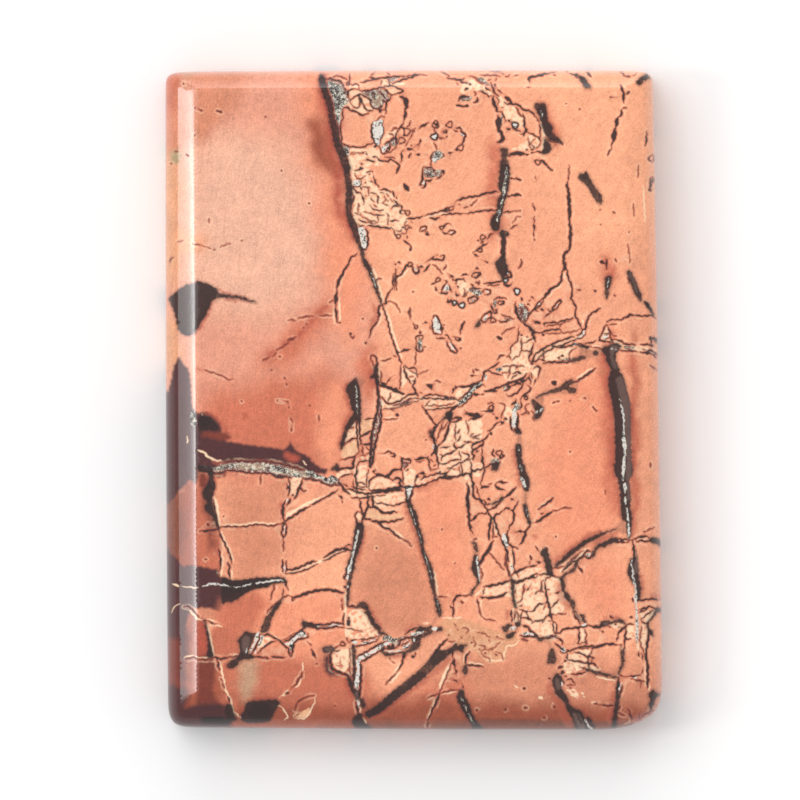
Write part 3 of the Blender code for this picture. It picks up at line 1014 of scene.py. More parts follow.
# %% The cream band across the middle and the net under it
CREAM_BAND = """
brown 1.8 401,364 400.6,372 400.4,380 399.8,389
cream 0 401.5,366 404,371 407,378 405,384 401.5,388
dark 2.5 403.5,367 405,372 407,377 409,380 410.3,382.3
cream 0 404,366 410,369 416,371 417,377 413,384 409,378 406,372
dark 1.9 404.5,365.5 408,368.3 412,368 416,369 416.5,373
brown 1.6 409,370.3 413,372 416,374 418,377.5
brown 1.2 418,374.5 423,372.3 428.6,370.3
brown 1.5 408,377.3 413,376.8
dark 2.3 415.5,378 415,382 413,385.5 415,390 417.8,394.3
dark 1.6 413,381 415.3,384
spot 2.3 429,385.4
spot 0.9 437,380.5 440,382 421,392.5 426,440
cream 0 420,397 428,396 440,396.5 454,398 459,401 456,404 448,408 436,409.5 428,410 424,406 424,401
dark 1.8 421,398 424,396.3 428,394.8 434,394.7 440,395.6 447,397 455,397.6
dark 1.8 420,399.5 428,398.2 434,398.8 440,399 447,399.3 455,399.2 459,401
brown 1.6 430,400 427.5,403 425,406.3
brown 1.5 428,406.3 434,405 440,406 448,404.8 455,403
dark 1.8 427,409.5 432,409.7 438,408.7 446,408 452,407 457,405.4
dark 2.3 422.5,406.5 426,411.5 430,417 433,421 435.6,425
dark 2.9 435.6,424.5 434,429 432.7,434 433.3,438 434.7,443 435.5,448 434,452 430.7,455.3
umber 0 429,432 431.5,430 433,434 433.5,439 431,438
stain 5 430,428 430,434 431,440
white 0 432.2,444 434.3,444.8 434.7,449 432.5,448.5
dark 2.0 441,420.5 438.5,424 436,428 434,432.5
umber 0 446,412 451,411 452.5,417 450,422 447,419 441,420.5 445,416
dark 3.2 457.3,405.3 453.5,408.5 450.5,412.5 450,418 449.3,422
dark 2.7 449.3,422 448.3,428 446.6,434 444.3,439 441.3,443
dark 2.2 441.3,443 438,446 436.7,451 437,458 438,463 438.7,467.5
dark 2.2 451,419 455,418 460,417.3 461.5,419 456,421.6 451.5,422.2
brown 1.5 443,420.5 441.3,427 439,433 437,439 436,443
brown 1.5 447.3,422 443,430
brown 1.6 455.6,423 455.2,430 455,436 456,441
dark 2.1 459.3,429.3 457.4,434
dark 2.1 460.3,436 457.6,441
dark 2.4 455,442.8 454.2,445.5 456.6,449.2
dark 2.0 456.6,449.2 460.3,447 465.3,444.3
dark 1.9 440,447.4 445,447.4 450.4,446.6
dark 2.3 456.6,449.2 452,452.5 446,454.6 443,456 441,460.3
brown 1.6 439.5,454.7 443,456
brown 1.6 458.6,451 460.2,455 461,459.6
dark 1.9 440,463 445,464 450,461.3 455,459.6 461.3,459.6
dark 1.8 448.6,470 453,466.5 458,463.5 463.3,461.6
dark 1.9 462,452.6 466.3,453.7 469.6,456 465,460.3
dark 2.1 463.3,441.5 467.4,442 472.3,442.6
cream 0 436,443 441,446 447,436 451,424 458,421 466,421 474,419.5 481,419.5 482,432 480,441 472,450 \
473,461 482,464 480,476 440,476 438,464 437,452
salmon 3 452,446 462,440 466,438 468,446 458,450
dark 5.2 467.6,414 472,414.8 477,415.6 481,416.3
dark 1.9 468.3,420.4 470,419.6 474,419 478.6,418.6
brown 1.6 466,421 467,425 468.6,429 467.6,433.7
brown 1.6 472,437 476,436 480.3,434.4
brown 1.5 473,438.6 479.3,438.6
brown 1.4 470,436 473.5,433.8
dark 2.9 401,457.6 402,463 401.5,470
dark 2.8 402,457.8 406,459.4 410,460.2 411,463
quartz 0 403,460 408,462 410,464 405,468 403,467
brown 1.6 403,461.3 408,463.3 411,463.2
brown 1.6 408.6,464 404,469.3
dark 3.2 415,459.6 418.5,459 422.5,457.8 427,457.6
brown 1.6 416,461.6 420,461.7 424.4,460.4
dark 2.3 428,457 429,463 430,469
brown 1.5 430,459 433.4,462.3
brown 1.5 433.5,466 435.8,464
"""
print(len(CREAM_BAND.splitlines()) - 1, "marks")

# %% The quartz seam that climbs to the right, and the net round it
CLIMBING_SEAM = """
seam 4.4 458,404.5 462,401.5 466,398 470,393.7 473.5,389 477.5,385.3 481,383
dark 1.9 458.5,407.3 462,406 465.5,403 468.5,399.3 472,395.3 475,391.6
dark 1.9 458,400 462,397.6 466,393.7 469.6,390.3 472.3,386.6 476.5,383
dark 2.9 459,386.9 464,386.7 470,386 474,384.2 478,382.7 482,380
dark 2.4 452,393.4 454,389.6 457,387.5
dark 2.2 454.4,386.3 459,386.8
cream 0 457,389 462,388 471,387.5 467,392.5 461,398 456,397
dark 2.2 476.7,388.6 480,386 483.3,384
dark 2.7 482.6,380.6 483.3,375.5 485,371.2 489,371.4
white 0 484.5,374 487,374 487,379 485,381.5
dark 2.3 489,371.4 493,372.8 496.5,374.4 501.6,374.8
dark 2.1 488,369.3 493,367 497.5,364 500,361.5
quartz 0 495,369 501,367 503,369 498,372
dark 2.6 470,375.6 474.7,375.6
brown 1.7 473,370 473.6,374
dark 2.2 475.3,368.7 478.7,370.4
dark 3.1 473,394 476,394.4 479.5,394.8
brown 1.5 481.3,394.5 484,394
dark 2.4 484,391.6 488,390.9 492.5,389.3 497,387.7 502,386 506,384 510,382.6 514,381.5 518,380 \
522,378.5 525,376.3 526.6,373.7
dark 2.2 488,391.2 493,391.6 497.3,391
quartz 0 503,387 506,384.5 509,386 508,390 504,391.5
dark 2.5 507.5,383.6 508.6,387.6 505.6,391.3
dark 2.3 509.6,388.3 512,385.6 516,384 520,383 525,380.6 528.3,377.6
dark 2.5 508.6,396.8 513,395 517,393 520,389.6 522,386 523.6,383
dark 2.1 520,400 522,396.6 526,393.5 529.4,391.3 530.3,388 528.6,385.6
dark 2.0 528.7,374 529.6,379.6 531,384.3
brown 1.7 530.7,373 532.3,379
dark 2.6 534.8,382.3 536,379.4
dark 2.3 537.5,377.3 539,373 540,368 537.3,366.4 534,368.3
cream 0 501,365 512,363 528,362 530,369 525,374.5 518,378.5 510,381 505,379 502,371
cream 0 531,366 538,367 538,374 533,382 531,376
brown 1.6 510,365.6 509.6,372 508,378.4
dark 1.8 512,373.4 515,373.3 518.3,371
brown 1.6 511,379 514,376.3 518,373.6
brown 1.7 515,369.6 518.3,366
spot 1.6 519,372.6
brown 1.6 500,375 504,373 508,372
brown 1.7 502,366 507,366.4 513,365.6 519,366 524,366.4
ring 1.8 526,398
dark 2.7 516.4,400.3 514,403.3 511.6,404.8
brown 1.8 528.6,404 525.2,405 525,408 527,411 529.3,413 524.3,413.5 520.6,414.7
dark 2.1 521,402 521.4,406 519,409.3
quartz 0 514,404 519,403 519,409 514,412
cream 0 504,409 508,407 513,412 511,424 505,420
white 0 512,409 515.3,408 516.6,415 516.6,424 514,428.4 511.4,427 512,418
dark 2.5 510.7,416 510.3,422 511,428 513.6,431.6
dark 3.2 517.7,413.6 517.6,420 516.8,425 518,429 520.6,432.6
umber 0 514,428.5 518,428 521,431.5 520,434.3 515,433
ring 2.2 491,407.6
brown 2.1 487.6,403.6 491.3,403 493.6,404
dark 2.8 484.6,410.6 488,411.4 492,410.6 494,407
brown 1.5 492,413 494.6,414.4
brown 2.0 504.6,405 505,408 503,411.3 501.6,415 501,418.3
brown 1.4 500,403.3 504.3,403.8
dark 3.8 501.4,424.6 503.6,421.8
spot 1.7 496.6,417.8 505.5,418.6
dark 2.1 499.6,421.3 497,423 494,426.6 491,429.6 488,431
dark 2.3 489,433.4 487,437 484,439.6 480,441.5 476,443 473,444.6 471.8,448.6
dark 2.2 490,431.4 491.4,434.6
dark 2.4 484,440.6 482,444.6 478,447 474,449.6 472,452 473.6,456 473,460.5
dark 2.2 460,448 464.3,445
dark 1.8 461,462.6 466,460.3 471,459
dark 1.9 461,464 462,470 462.5,476
dark 2.1 471,462 471.3,468 472,475
dark 2.0 482,449 482,455
dark 2.8 482,455 482.6,462 484.3,468
dark 2.0 484,467.6 488,466 492,464 496,463.6 500.3,462
dark 2.5 493.6,449 492,453 494,456.4
ring 2.7 499,453
spot 1.6 503.6,455.6
dark 2.4 499,458.6 502,458
quartz 0 490,460 496,457.5 500,460 496,463.5 491,463
umber 0 492,463.5 499,461.5 499,466 496,470.5 491.5,470
dark 2.0 475.8,452.8 478,451
umber 0 515,447 517,443.5 520.5,444 521.7,450 521.8,457 523,463 525.5,471 519,471 517,462 515.5,455
seam 1.8 518.6,446 518.8,451
seam 1.8 519.8,465 521,470
stain 5 514,448 515,458 517,467
umber 0 531,400.5 535,400 538,402.5 541,405 543.7,409 542,413.5 540,417 536,419.7 534,418 535.3,413 \
534,408
white 0 540,408.5 543,407.5 542,411 539,413
white 0 535.5,411 537.5,410.5 536,414 533.5,414
pale 1.4 532,415 532.6,418
brown 1.6 531.3,411 534,414 533,418 534,420.6
umber 0 535,398.6 541,396.4 548,394 556,392.6 560,391.2 566,389.6 569,393 574,393.2 576.4,390.5 \
575,388 569,386.6 571,384 575,383 580,379.3 575,381.4 571,379.6 567,380.4 563,383.4 559,387 552,389.4 \
545,392.4 538,395.4
dark 2.3 575,382 579,379.6 583,377 588,373.6 593,370 596,368
pale 2.2 577,378.3 582,375.3 587,371.6 592,368
spot 2.9 554,382.8
spot 1.0 555.6,383.2
dark 2.5 552.3,402.8 555.3,402
brown 1.6 556,401.6 559.6,400.8
spot 1.1 570,400.8 585,398 593,407 596,410.5 570,451.5
"""
print(len(CLIMBING_SEAM.splitlines()) - 1, "marks")

# %% The net of veins to the right of the middle
# The ash outline along the middle of the dark smear at 629 to 637 across and 272 to 293 down, on the
# right bevel, is a painted highlight
RIGHT_NET = """
cream 0 534,352 541,349 547,346 555,343 563,340.5 570,338 577,337 583,333 584,336 576,340 570,343.5 \
563,346 554,349.5 547,352 541,357 536,361
dark 2.2 530.6,363 533,358.5 536,354 541,350.3 547,346.6 553,344 557,342 563,340 569,337.6 574,336.6
dark 1.9 541,351 547,351.3 552,348.3 556,346.3 562,345.6 568,342.4 574,340.3 577,338.6
cream 0 540,357 547,352.5 556,349.5 566,348 573,347.5 575,349 570,352 569,357.5 558,359.5 548,361
sand 3 543,358 555,351 567,349 570,352 568,357 556,359 546,361
dark 2.1 556,347.4 562,347.6 568,346.3 574,344.4 579,344 583.3,346 588.3,347
umber 0 577,345 583,345.5 588.6,346 588,348.6 581,347.6
white 0 570,345.5 575,342.5 578,344 573,346.5
brown 1.8 569,358 569.4,353.4 572,349.6 575.6,348.6
spot 1.5 562.4,355.6 558.6,357.6
dark 2.4 543.5,363.4 549,362.3 555,362.2 561,362.3 567,362.3 572,361
quartz 0 550,361 558,360.3 566,358.3 574,358 571,360.6 562,361.3
umber 0 570,361 574,358.6 580,356 585,356 585.6,358.6 579,360.6 573,362
dark 1.7 538,358 541,355 545,352.6
dark 1.9 541,359.3 543.6,358 543.6,354.6 541.3,356.6
dark 1.9 532,364.6 535,361.6 539,359.6 545,361
dark 2.2 584,344 588,343 593,342.4 595.4,340.8
brown 1.3 590,346.8 598,348 604,349.3
pale 1.3 592,345.6 600,346.6
umber 0 592.6,352.5 594.6,350.3 598,351.5 597.6,354.5 594.6,356 592.8,354.6
dark 1.9 606.6,325 604,328 602,333 600,337 598.8,340.6 604,341 608,342 612,344
dark 1.9 607,325 608.4,329 609.8,333 610.2,337 612,341 615.6,345
cream 0 606.6,327 608.4,333 609.4,338 614,344 608,341.5 600.5,339.6 603,334
white 0 602,338.6 604.6,335 609,336 606,338.6
brown 1.6 602.6,334.4 607,333.6 611.4,333.6
brown 1.6 604,340.4 607.6,338.6 610.4,337.4
dark 2.0 606,322.4 609,320.2 614,319.5 618.6,320.2
dark 2.2 617.6,320.5 622,319 626,317 630,315 636,315.4
quartz 0 624,317.3 629,314.6 634,315 629,317.4
dark 2.0 634,315.6 641,316 645,316.2 649,315.4 653,316.6 657,318.6
brown 1.6 609,324.7 616,324.2
brown 1.6 611,332 612.3,335
brown 1.5 613,336.3 616.3,335.6
dark 2.0 613,339.4 617,340 621,341.2 624,344 629,344.4 635,344.7
dark 2.1 640,344.4 645,344.6 650,344.5 651,341 650,338.3 654,338.2 657,340.3
umber 0 649.6,338 654,337.4 657.5,340 657,343 653,339.6
dark 2.3 651,346.4 653.6,345.6
cream 0 613,341 619,341 624,345.6 634,346 642,346.4 650,347.4 656,350 657,353 649,351 640,351.4 \
632,350 624,350 618,347
quartz 0 624,346 634,346.6 634,349.4 625,349.4
dark 1.9 619,350.3 626,351 632,350.8 636.4,352
dark 2.2 640,351.8 644,353 647,351.4 650,350.3 654,351.8 658,356
dark 1.9 642,353.4 650,353.6 655,356.6 658,359
white 0 648.6,351.6 653,351.8 656.6,354.8 652,353.3
brown 1.5 642,349.3 646,350.3
umber 0 600.6,350 604,347 608,346 612,344 618,343.6 621.4,346 618.4,350 616.4,353.6 615.4,358 617,364 \
619.6,371 612,371.6 609,366 606,361 605.6,356 602.6,352.6
ash 0 611,346 616,346 618,348.5 614,352 612.5,357 615,363 616.5,369 613,367 611,360 610,352
white 0 609.6,348.6 612,347.6 613.6,349 611,350
white 0 614,349.3 616.3,348.6 615.6,350.8
stain 6 603,352 604,358 607,364 609,371
umber 0 605.4,277.5 610.6,276.3 611.4,280 610,286 608.6,291 608.6,296 606.6,299.6 604.8,296 604.6,288 \
604.6,282
seam 1.3 608.3,279 607.6,283 606.8,288
dark 2.4 606.4,259 606.7,264 606.4,269.6
stain 3 614.6,265 612.6,271 611.6,276
spot 1.5 595,291
spot 1.2 614.6,295.5 580,290.3
umber 0 626.6,272.3 629.6,269.6 633,275.6 636.6,283 639,290 641.6,296 641,301.4 638,299 634.6,294 \
631.6,287 629.6,280.6 627.6,276
ash 0 629.4,272 632,276 635,283 637,290 636.4,293 634,287 631.6,280 629.6,275
dark 1.8 626.8,277 629.3,280.6 628,283.3
umber 0 644.6,301 648,302.6 650,306 653.6,313.6 651,312 648,309 645,306
dark 2.3 644.8,302 648,306.5 651,311 653.6,316
brown 1.7 649.6,365.4 653,367.6 657.6,370
brown 2.0 650.4,463 650.2,468
umber 0 610,372 614,369 619.6,371.6 623.4,377 624.6,382 627,391 629.4,400 630.3,412 630.4,430 \
630.8,446 631.2,460 631.4,476 615.6,476 615,462 614.8,446 614.6,430 613.4,414 611.6,402 609,391 608,381
ash 0 616,379 621.6,377 624,384 626.6,392 629,401 629.8,412 630,430 630.4,446 630.8,460 631,476 \
627,476 626.6,458 626,440 624.6,424 623,411 620.6,400 618,389
seam 1.6 619.6,398 620.4,404
white 0 619.8,404 621.6,404.6 623.6,411 624.6,420 624.6,432 625.6,440 626.6,446 625.6,456 625.4,464 \
624.4,474 621.4,474 622,462 623.4,454 622.4,446 621.6,440 622.6,432 622.4,420 621,411
spot 0.9 623.5,442.6 623.6,450 622.6,436 624.4,428 622.8,423 626,461
pale 1.5 627.6,440.5 630.8,439.6
pale 1.5 628,443.6 631,443
stain 7 607,373 606.5,386 609,398 611.5,412 612.5,430 612.5,450 613,472
stain 4 631.5,404 632.5,418 633,440 633.6,470
pale 1.3 613,422.6 613.6,424
"""
print(len(RIGHT_NET.splitlines()) - 1, "marks")

# %% The quartz seam across the left half, and the fault's next length
QUARTZ_SEAM = """
terracotta 4 199,474 214,472 217,480 214,495 209,506 212,520 219,532 221,545 220,569 199,567
brick 12 206,480 214,486 209,506 214,520 219,545 214,552 206,520
brick 4 200,474 206,474 206,486 200,486
maroon 3 150,546 167,548 170,553 174,556 178,559 181,563 184,566 190,565 198,566 205,567 212,568.5 \
219,570 221,577 226,578 231,580 240,580 250,579 262,577.5 268,578 268,586 260,588 252,589.5 246,593 \
240,597 233,601 226,601 222,603 222,608 220,612 217,611 214,609 208,608 200,608 190,612 184,640 \
182,650 150,650
quartz 0 200,466 208,466 214,467.5 222,463.5 230,462.3 240,461.7 250,462.3 260,461.8 270,462.3 \
280,464.3 290,466.6 297,468.5 303,470.4 310,470.3 316,473 322,475.5 329,477.3 332,474.5 336,477 \
341,484 336,484.6 330,485 325,483 320,480.5 314,479.4 309,478.4 303,478 298,477 290,477.3 287,476 \
280,477 275,476 272,473.6 266,472.6 260,472.3 252,472.6 245,471.4 238,470.5 230,469.6 225,470.3 \
222,472.3 215,472 209,470
dark 2 199,470 206,471.5 214,472.6 222,472.9 227,470.4 234,470.7 242,471.6 250,473 258,472.8 \
266,473.2 272,474 276,476.6 280,477.7 287,476.8 291,477.9
dark 2 303,478.4 309,478.9 314,479.9 320,481 325,483.6 330,485.6 335,484.9 340,485.2
dark 1.8 222,463.3 230,461.9 240,461.2 250,461.9 260,461.3 270,462 280,464 290,466.3 297,468.2 304,470.2
umber 0 199,465.5 208,466 213,468 213,472 206,472 199,471
cream 0 274,470 280,469.3 286,470 287,472 282,473.4 276,473
dark 1.8 272,473 276,475 282,476 287,476
brick 3 214,473 222,473 227,470.5 225,476 220,477.5 215,476
umber 0 208,471 213,472 214,480 215.6,486 214,493 212.6,497 213,503 214.3,510 216,517 218.6,526 \
219,530 217,527 214.5,521 211,515 206,511 204.5,506 208,502 204,499 202.5,494 204.5,488 208,483 209,477
pale 1.3 210,472 211,477 212,481 213,486.5
dark 2.2 213.5,500 215,509 216.7,518 218.3,526 219.3,530
dark 2.3 219.3,530 221,536 224,541.5 226.5,547 229,552 231,558 231.6,562.5
cream 0 213.6,495 217,499 218.6,506 219.2,514 219.8,521 220.3,527 218.6,524 216.4,515 214.4,505
pale 2.4 215.5,499 217,508 218.5,518 219.7,526
pale 1.9 221.5,531 225,540 229,548 232,556 233.3,561
pale 1.2 222,541 225,548
dark 2.5 200,531 206,530.8 212,530 218.5,529.5
dark 1.8 219.5,528 222,527 226,526.3 234,526.5 242,526.5 248,526 252,525 257,524.3 263,524.7 \
268,525.6 272,525.8 277,524.6 282.5,522.6
pale 1.8 222,525 234,525 246,524.7 252,523 262,522.8 268,523.8 276,522.8
dark 2.3 219,549 220,555 220.8,560 220.5,566 219.5,571
pale 1.7 222,552 222.7,560 222.2,571
dark 2.7 228,563 229.5,567 229,572 230.5,578
spot 1.6 208.3,524.5
stain 2.5 204.5,522 205.5,523
spot 1 206,559
brown 1.5 261,473 260.8,478 260.6,484
dark 2.1 288,478 289.5,481 290,486 289.5,491 288.5,496
dark 1.8 287,483.5 287.5,487.5 286.8,489.5
white 0 287.3,484 288.8,484 288.5,486.5 287.5,486.3
dark 2.5 290.3,498 289.6,502 287,505
white 0 286.5,498.8 288.8,499 287,503.3 285.5,503
dark 3 285.5,500.5 283.5,504.5 283,510 283.2,516 284.2,521
stain 5 281.5,503 281,508 282,514
dark 2.3 303,479 301,484 299,488 297.5,492 296.6,496 294.5,499
dark 2.3 298,489.5 301,489 303,491 306.5,490.4
spot 1.4 293,495
cream 0 291,478 302,478 299,486 296,495 291,497 290,488
dark 2.8 285,520.5 288,519 292,516.5 296,514 300,511 304,509 308,507
dark 2.1 308,507 314,503.5 320,500 326,497 332,493.5 337.5,490.3
cream 0 286,518 287,512 295,509 303,504 312,500 322,496 331,492 322,498 312,503.5 303,508.5 295,513 \
289,517
pale 2 287,516 294,511.5 302,506.5 310,502.5 320,498
dark 2.1 284.5,521.5 283,527 281.8,532 282.6,536 284,539
dark 2.1 286,522.5 286.7,528 286,533 285,537
white 0 283.8,525 285.2,525 285.2,534 283.8,534
brown 1.7 283.4,539 283.6,545 283.7,551
dark 2.3 283,560 282.5,565 283,572
dark 1.8 286,560 286.6,566 286,571
white 0 284,563 285.4,563 285.5,573 284,573
dark 2.6 287,570 294,569 300,567 306,564 312,561.8 317,560.8
pale 2.3 288,572 296,571 304,568.2 311,565 317,562.5 322,560.5 327,558 332,555 338,552 345,550.3
dark 1.9 286,573.3 292,573 298,572 304,570 309,568.3 314,565.3 317.5,563.4
dark 3 324,557.6 330,553.5 335,550.5 340,549 346,548.8 349,550 352,551
dark 1.8 322,560.4 328,559.5 333,556 340,552.4 346,551.2
dark 1.6 345,546 348,545 351.5,544.3
spot 1.7 342,497.5
brown 1.8 342,500 342,502
"""
print(len(QUARTZ_SEAM.splitlines()) - 1, "marks")

# %% The second fault's foot and the net in the middle
CENTRE_NET = """
dark 2.1 360,512 357,512 355.4,514 355.5,518 357,521.5 357.6,526 358,529
dark 2.4 360,499 360.5,505 361.6,510 363,515.5 362.3,520 361.3,524 358.7,528.6
umber 0 355.5,525 358,522 362,523 364,526 363.3,534 361.4,543 358.2,552 355.6,560 353.6,571 345.8,571 \
348,563 350.4,556 352,549 353,541 354,533
white 0 357.5,529 359.2,529.6 358.3,536 357,542 355.6,548 354.5,553 353,559 352,564 351,571 348.6,571 \
350,564 351,558 352,552 353.5,547 355,541 356.3,535
cream 0 356.5,513 360.5,513 362,517 360.5,523 358.5,526 357.5,520
stain 5 365,530 363,540 360,550 357,562
cream 0 338,473 343,470 352,469 355,472 352,474 345,474.3 340,477 337.5,481 335,479
dark 1.8 339,480 341,477.5 345,475.2 350,474 354,474.6
quartz 0 334,478 339,479 341,484 336,484
dark 3 338,481.5 341,484.5 343.5,488.5 346,492 350,493.6
brown 1.7 343,484 346,485 348.3,486.6
dark 2.3 346,490 349,488.6 352,490 356,491.5 360,492.6 367,493.7 373,493 380,492 386,491.7 392,490.5 \
398,490 403,490.6
dark 1.9 352,486 356,488 360,489 366,489.6
dark 2.3 357,465 357,472 355.5,476 356,480 357,486 357.3,494
brown 1.7 353,480 353.7,488
dark 1.9 357,482 361,482.5 365,484.5 367,487
brown 1.7 357,485.5 362,487 367,487
dark 1.8 352,497.3 357,497.8 362,498 367,497.4 371,496.4 375,496
cream 0 354,470 366,466 369,488 357,488
cream 0 347,489 360,490.5 372,491.5 372,497 360,497 352,496 347,493
brown 1.6 369,469 367.5,473 366.7,480 367,486
dark 2.3 375.3,470.3 373,472.4
dark 2.7 374.5,472.8 378,474 383,475.6 388,475.6 391,472.5 393,470 397,469.6 402,470
dark 2.2 369,489 369,483 371,479.5 374,477.5 377,476 381,475.2 385,476.5 389,478 392,480.2
dark 2.7 393,480.5 396,478.3 400,478.6 401,481 399,483 401.3,486
white 0 393.5,479.5 395.5,479.5 395,481.3 393.5,481
white 0 399.8,480 402,479.6 402,482 400.3,482
white 0 402.5,485 405,484.6 404.6,487.5 402.8,487.5
brown 1.8 402,470 403,476 403,482 404,487
dark 2.6 370,490.2 377,490 384,490 390,488.6 396,487.5 401,486.6 408,486.8 414,486.6 420,485.8 \
426,484 430,481.5
dark 2.5 430,481.5 436,479.7 440,477.6 446,477.4 452,477 458,476.2 462,475 468,473.5
umber 0 384,490 392,488.6 400,487.6 402,489.8 392,490.6 385,492
brown 1.6 376,495.6 385,495.3
dark 3 372.8,496 372.8,501 373.6,506 378,509 382,512 388,513 393,511.6 397,511.9
dark 2.4 368,494 368,500 367.6,507 366,511 364.7,516 366,519.3
dark 2.1 368,507.5 371,507.5 373.6,506
dark 1.8 376,503 384,503.5 390,505.4 396,505
dark 2.6 395,505 401,503.3 405,502
dark 2.4 365,519 370,519.4 376,521.3 382,521.3 388,522 394,521 399,519.5 403,518.2
dark 2.4 376,521.5 380,524.5 384,527.3 389,529 393,532 397,535.5 402,539
dark 1.7 402,539 407,541 409,543 411.5,546.5
pale 2.4 382,523.5 390,528.7 398,534 406,540
cream 0 374,494 384,494 404,492 405,501 398,504.5 390,505 396,510 388,511.5 380,510 374.5,505
sand 2 368,508 375,508.5 382,513.5 390,514.5 398,513 403,517 395,520 386,521 376,520 366,518
cream 0 371,481 377,477 385,478 392,482 399,486 390,488 370,489
white 0 405,488 413.5,484 411.5,491 408,500 406,495
cream 0 404,470 414,470 416,478 413,484 405,485
dark 2.5 405.5,488 406,493 406.6,498 407.3,503
dark 2.8 413.3,488 412,492 410.5,497 409.5,500.5
umber 0 406,499 410,499 413,507 417,514 418.5,521 420,528 422.5,535 424,542 424,548 427,555 430,562 \
433,570 434.5,580 435.5,590 437,597 440,603 441.5,610 441,616 438,616 436,609 434.5,601 432.5,592 \
430,583 427.4,571 425,563 422,554 420,546 418.5,538 415.5,529 412,520 409,511 407,505
seam 1.2 410,507 412,513 414,519
white 0 413.7,518 414.8,518.5 416,525 414.8,525.5
seam 1.3 418,531 420,537 421,543
seam 1.1 424,552 427,561 429,568
seam 1.6 429.5,570 431,576 432,580
seam 1.5 437,600 438,605 439,609
pale 1.8 434,570 435.8,580 437,590 438,596
stain 4 405,505 410,520 416,535 420,550 425,568
dark 1.8 438.5,596.3 442,596.6 446,596.3
dark 2.5 406,471.2 408.2,468.8
dark 1.9 414.8,484 415.5,480 416.3,476 419,473.5
dark 1.9 420,480 423,478 427,476.5 432,475 437,473.6 442,473.8 446,472.8 449,470.5
spot 1.5 417.5,476.5
spot 2.2 423,472.8
dark 1.7 432,470 437,469
spot 1.1 440,471.5
dark 2 444,478.6 448,479 452.5,478.3
dark 1.7 440,477 446,475.3 450,476 454,477
brown 1.6 459,466 460,473.5
brown 1.6 447,469 450,468 455,469.5
cream 0 415,484 417,478 424,478 432,476 440,475.5 446,476 436,478.5 428,482 420,485
stain 4 416,488 424,487.5 430,484.5 438,481
spot 1 442,529 455,563 377,548
"""
print(len(CENTRE_NET.splitlines()) - 1, "marks")

